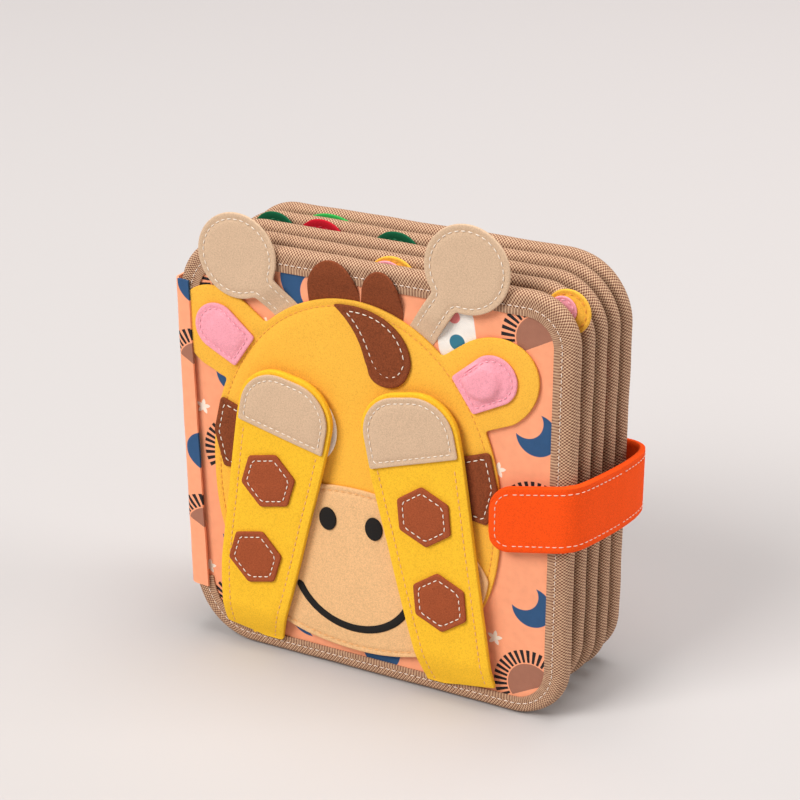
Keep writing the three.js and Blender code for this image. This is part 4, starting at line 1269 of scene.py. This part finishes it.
def strap_path():
    """The middle line of the band in x and y, from the sewn end at the back to the tip at the front."""
    x = [44.2, 98, 101.5, 104.5, 107, 109.2, 109.8, 109.2, 107.6, 105.4, 102.8, 99.6, TIP_X]
    rear_y = [REAR_Y, REAR_Y, REAR_Y - 0.3, REAR_Y - 1.6, REAR_Y - 4.5]
    y = [*rear_y, 24.5, 15, 2, -10, -22, -32, FRONT_Y + 0.5, FRONT_Y]
    line = even(np.stack([x, y], -1), 0.5, closed=False)
    for _ in range(60):
        line[1:-1] = (line[:-2] + 2 * line[1:-1] + line[2:]) / 4
    return even(line, 1.0, closed=False)


def strap_rise(x, y):
    """The band climbs from the tip to the fore edge and drops again towards the back."""
    share = np.clip((y - FRONT_Y) / (REAR_Y - FRONT_Y), 0, 1)
    front = np.where(y < FRONT_Y + 2, (np.minimum(x, 100) - 75) * 0.2, 5.0)
    return 100.5 + front * (share < 0.02) + (share >= 0.02) * (5.0 - 6.5 * share ** 1.4)


def band(name, line, rounded_end):
    """A section with soft edges and two furrows, carried along the path, with a rounded tip if asked."""
    side = normals(line, closed=False)
    half = STRAP_THICK / 2
    corners = [(-STRAP_HALF, -half), (STRAP_HALF, -half), (STRAP_HALF, half), (-STRAP_HALF, half)]
    loop = even(rounded(corners, 1.1, 6), 1.3)
    furrow = np.exp(-((np.abs(np.abs(loop[:, 0]) - STRAP_SEAM) / 0.6) ** 2)) * 0.35
    loop = np.stack([loop[:, 0], loop[:, 1] - np.sign(loop[:, 1]) * furrow], -1)
    left = (len(line) - 1.0 - np.arange(len(line))) if rounded_end else np.full(len(line), 99.0)
    near = np.clip(left / TIP_ROUND, 0, 1)
    width = 1 - TIP_ROUND / STRAP_HALF * (1 - np.sqrt(1 - (1 - near) ** 2))
    thick = np.sqrt(np.clip(left / 1.2, 0.15, 1))
    out = side[:, None] * (loop[None, :, 1] * thick[:, None])[..., None]
    z = strap_rise(line[:, 0], line[:, 1])[:, None] + loop[None, :, 0] * width[:, None]
    rings = np.stack([line[:, None, 0] + out[..., 0], line[:, None, 1] + out[..., 1], z], -1)
    return ring_mesh(name, placed(rings, "page_2"), felts["strap_felt"])


path = strap_path()
middle = int(np.argmin(np.abs(path[:, 1])))
rear = band("strap_rear_felt", path[:middle + 1], False)
front = band("strap_front_felt", path[middle:], True)


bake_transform(rear)
sit(rear, None, ["strap_base", "strap_side"])
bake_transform(front)
sit(front, None, ["strap_tip"])
print("strap is", len(path), "mm long")


# %% Strap stitches and fastening
def strap_seam(line, height):
    """Points on the outer side of the band at a height over its middle, with the outward normals."""
    side = normals(line, closed=False)
    out = np.stack([side[:, 0], side[:, 1], np.zeros(len(line))], -1)
    z = strap_rise(line[:, 0], line[:, 1]) + height
    return np.stack([line[:, 0], line[:, 1], z], -1) + out * (STRAP_THICK / 2 - 0.15), out, False


def tip_seam():
    """Half a rounded square round the tip: two quarter circles joined by the strap's end."""
    turn = np.linspace(0, math.pi / 2, 9)
    inner = TIP_ROUND - STRAP_HALF + STRAP_SEAM
    arc = np.stack([TIP_X + TIP_ROUND - inner * np.cos(turn), STRAP_SEAM - inner + inner * np.sin(turn)], -1)
    line = np.vstack([(arc * [1, -1])[::-1], arc])
    y = np.full(len(line), FRONT_Y - STRAP_THICK / 2 + 0.15)
    return (np.stack([line[:, 0], y, strap_rise(line[:, 0], y) + line[:, 1]], -1),
            np.tile([0.0, -1.0, 0.0], (len(line), 1)), False)


rear_seams = [strap_seam(path[4:middle], height) for height in (-STRAP_SEAM, STRAP_SEAM)]
rear_sewn = stitches("strap_rear_stitches", rear_seams, threads["salmon"], "page_2")
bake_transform(rear_sewn)
front_seams = [strap_seam(path[middle + 1:-11], height) for height in (-STRAP_SEAM, STRAP_SEAM)]
front_sewn = stitches("strap_front_stitches", front_seams + [tip_seam()], threads["salmon"], "page_2")
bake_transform(front_sewn)
loops = rounded([(71, 88), (88, 88), (88, 112), (71, 112)], 1.5, 5)
laid_felt("strap_loops", loops, "strap_loop_pad", "hook_tape", -3.5, 1.4)
hooks = rounded([(71, 91), (88, 91), (88, 109), (71, 109)], 1.5, 5)
laid_felt("strap_hooks", hooks, "strap_hook_pad", "hook_tape", -5.3, 1.2, "strap_end")

# %% [markdown]
# ## Felts on the inner pages
# Tops of more felt pieces show above the front leaves: a yellow animal with pink ears on the first
# page, green and red tongues on the third, and a green hill inside the back cover.

# %% Inner pages
ON_TAPE = -5.3
applique(
    "page_1_head_felt", oval(44.5, 150, 42, 42), "page_1_animal_head", "yellow_felt", "yellow", back=-3.2,
    thickness=1.5, body="page_1")
for name, x, z, size, pink in (("left", 6.2, 193.0, 12.6, 9.6), ("right", 90.0, 194.4, 10.2, 6.3)):
    applique(
        f"page_1_{name}_ear_felt", oval(x, z, size, size), f"page_1_animal_{name}_ear", "yellow_felt",
        "yellow", back=ON_TAPE, thickness=1.5, inset=2.0, body="page_1")
    applique(
        f"page_1_{name}_inner_ear_felt", oval(x - 2, z + 1, pink, pink), f"page_1_animal_{name}_inner_ear",
        "pink_felt", "pink", back=-7.1, thickness=0.7, inset=1.7, body="page_1", pitch=3.0, length=2.0)
for name, x, half, thread in (
        ("left", -71, 11.7, "green"), ("middle", -46, 13, "red"), ("right", -7.2, 13, "green")):
    tongue = rounded([(x - half, 153), (x + half, 153), (x + half, 206.2), (x - half, 206.2)], half - 0.3, 12)
    applique(
        f"page_3_{name}_tongue_felt", tongue, f"page_3_{name}_tongue", f"{thread}_felt", thread, back=ON_TAPE,
        thickness=1.5, body="page_3", inset=3.4)
applique(
    "back_cover_hill_felt", oval(-49.5, 181, 23, 23), "back_cover_hill", "lime_felt", "lime", back=ON_TAPE,
    thickness=1.5, body="back_cover", inset=3.4)
# Edges of more felts that peep out at the fore edge, sewn on the pages' tape.
for name, leaf, thread, x, z, size in (
        ("page_3_upper_berry", "page_3", "red", 88.8, 156.5, 7.2),
        ("page_3_lower_berry", "page_3", "red", 88.8, 141.0, 6.8),
        ("page_2_upper_leaf", "page_2", "green", 86.5, 148.0, 8.5),
        ("page_3_lower_leaf", "page_3", "green", 86.0, 42.0, 9.5)):
    applique(
        name, oval(x, z, size, 1.6 * size if thread == "green" else size), None, f"{thread}_felt", thread,
        back=ON_TAPE, thickness=1.5, inset=2.4, body=leaf)
print("inner pages done")

# %% [markdown]
# ## Floor, light and background
# The book stands on a pale warm surface that runs back without a horizon. One large soft lamp from
# the upper left gives form and leaves the fore edge in shade. A weaker one from above lights the tops
# of the leaves, a small one from the right and a little behind lifts the fore edge, and the world is
# a soft pale dome. The floor is painted a little darker towards the front, where the lamp is nearer,
# as a studio sheet is evened out. The background's colour is given to camera, mirror and see-through
# rays only, so it lights nothing that is matt.

# %% Floor
floor_mesh = bpy.data.meshes.new("floor")
corners = np.array([(-6, -6, -0.0002), (6, -6, -0.0002), (6, 6, -0.0002), (-6, 6, -0.0002)])
floor_mesh.from_pydata(corners, [], [(0, 1, 2, 3)])
floor = bpy.data.objects.new("floor", floor_mesh)
bpy.context.scene.collection.objects.link(floor)
floor_paint, tree, shader = new_material("floor_pale_card")
depth = add(tree, "SeparateXYZ", add(tree, "TexCoord").outputs["Object"]).outputs[1]
share = add(tree, "MapRange", depth, -0.6, 1.6, 0.0, 1.0)
ramp = two_tones(tree, share, linear("bdbab9"), linear("d0cbcb"))
wire(tree, shader, {"Base Color": ramp, "Roughness": 0.85, "Specular IOR Level": 0.2})
floor_mesh.materials.append(floor_paint)

# %% Lamps and world
# Each lamp: its name, its place, its width in metres, its power in watts and its colour.
LAMPS = (
    ("key", (-1.9, -3.9, 4.0), 2.6, 282.0, "fffdfa"),
    ("top", (0.3, 0.2, 4.0), 2.6, 118.0, "fffdfb"),
    ("side", (3.4, 0.9, 1.7), 1.8, 50.0, "fffdfb"),
)
for name, place, size, power, hex_colour in LAMPS:
    lamp = bpy.data.lights.new(name, "AREA")
    lamp.size = size
    lamp.energy = power
    lamp.color = linear(hex_colour)[:3]
    lamp_object = bpy.data.objects.new(name, lamp)
    lamp_object.location = place
    aim_at = np.array([0, 0, 0.1]) - np.array(place)
    lamp_object.rotation_euler = (
        math.acos(-aim_at[2] / np.linalg.norm(aim_at)), 0, math.atan2(aim_at[1], aim_at[0]) - math.pi / 2)
    bpy.context.scene.collection.objects.link(lamp_object)
world = bpy.data.worlds.new("pale_room")
world.use_nodes = True
bpy.context.scene.world = world
tree = world.node_tree
tree.nodes.clear()
rays = add(tree, "LightPath")
seen = add(tree, "Math", rays.outputs["Is Camera Ray"], rays.outputs["Is Glossy Ray"], operation="MAXIMUM")
seen = add(tree, "Math", seen, rays.outputs["Is Transmission Ray"], operation="MAXIMUM")
dome = add(tree, "Background", Color=linear("fffcfa"), Strength=0.24)
shown = add(tree, "Background", Color=linear("e9e0da"), Strength=1.0)
add(tree, "OutputWorld", add(tree, "MixShader", seen, dome, shown))
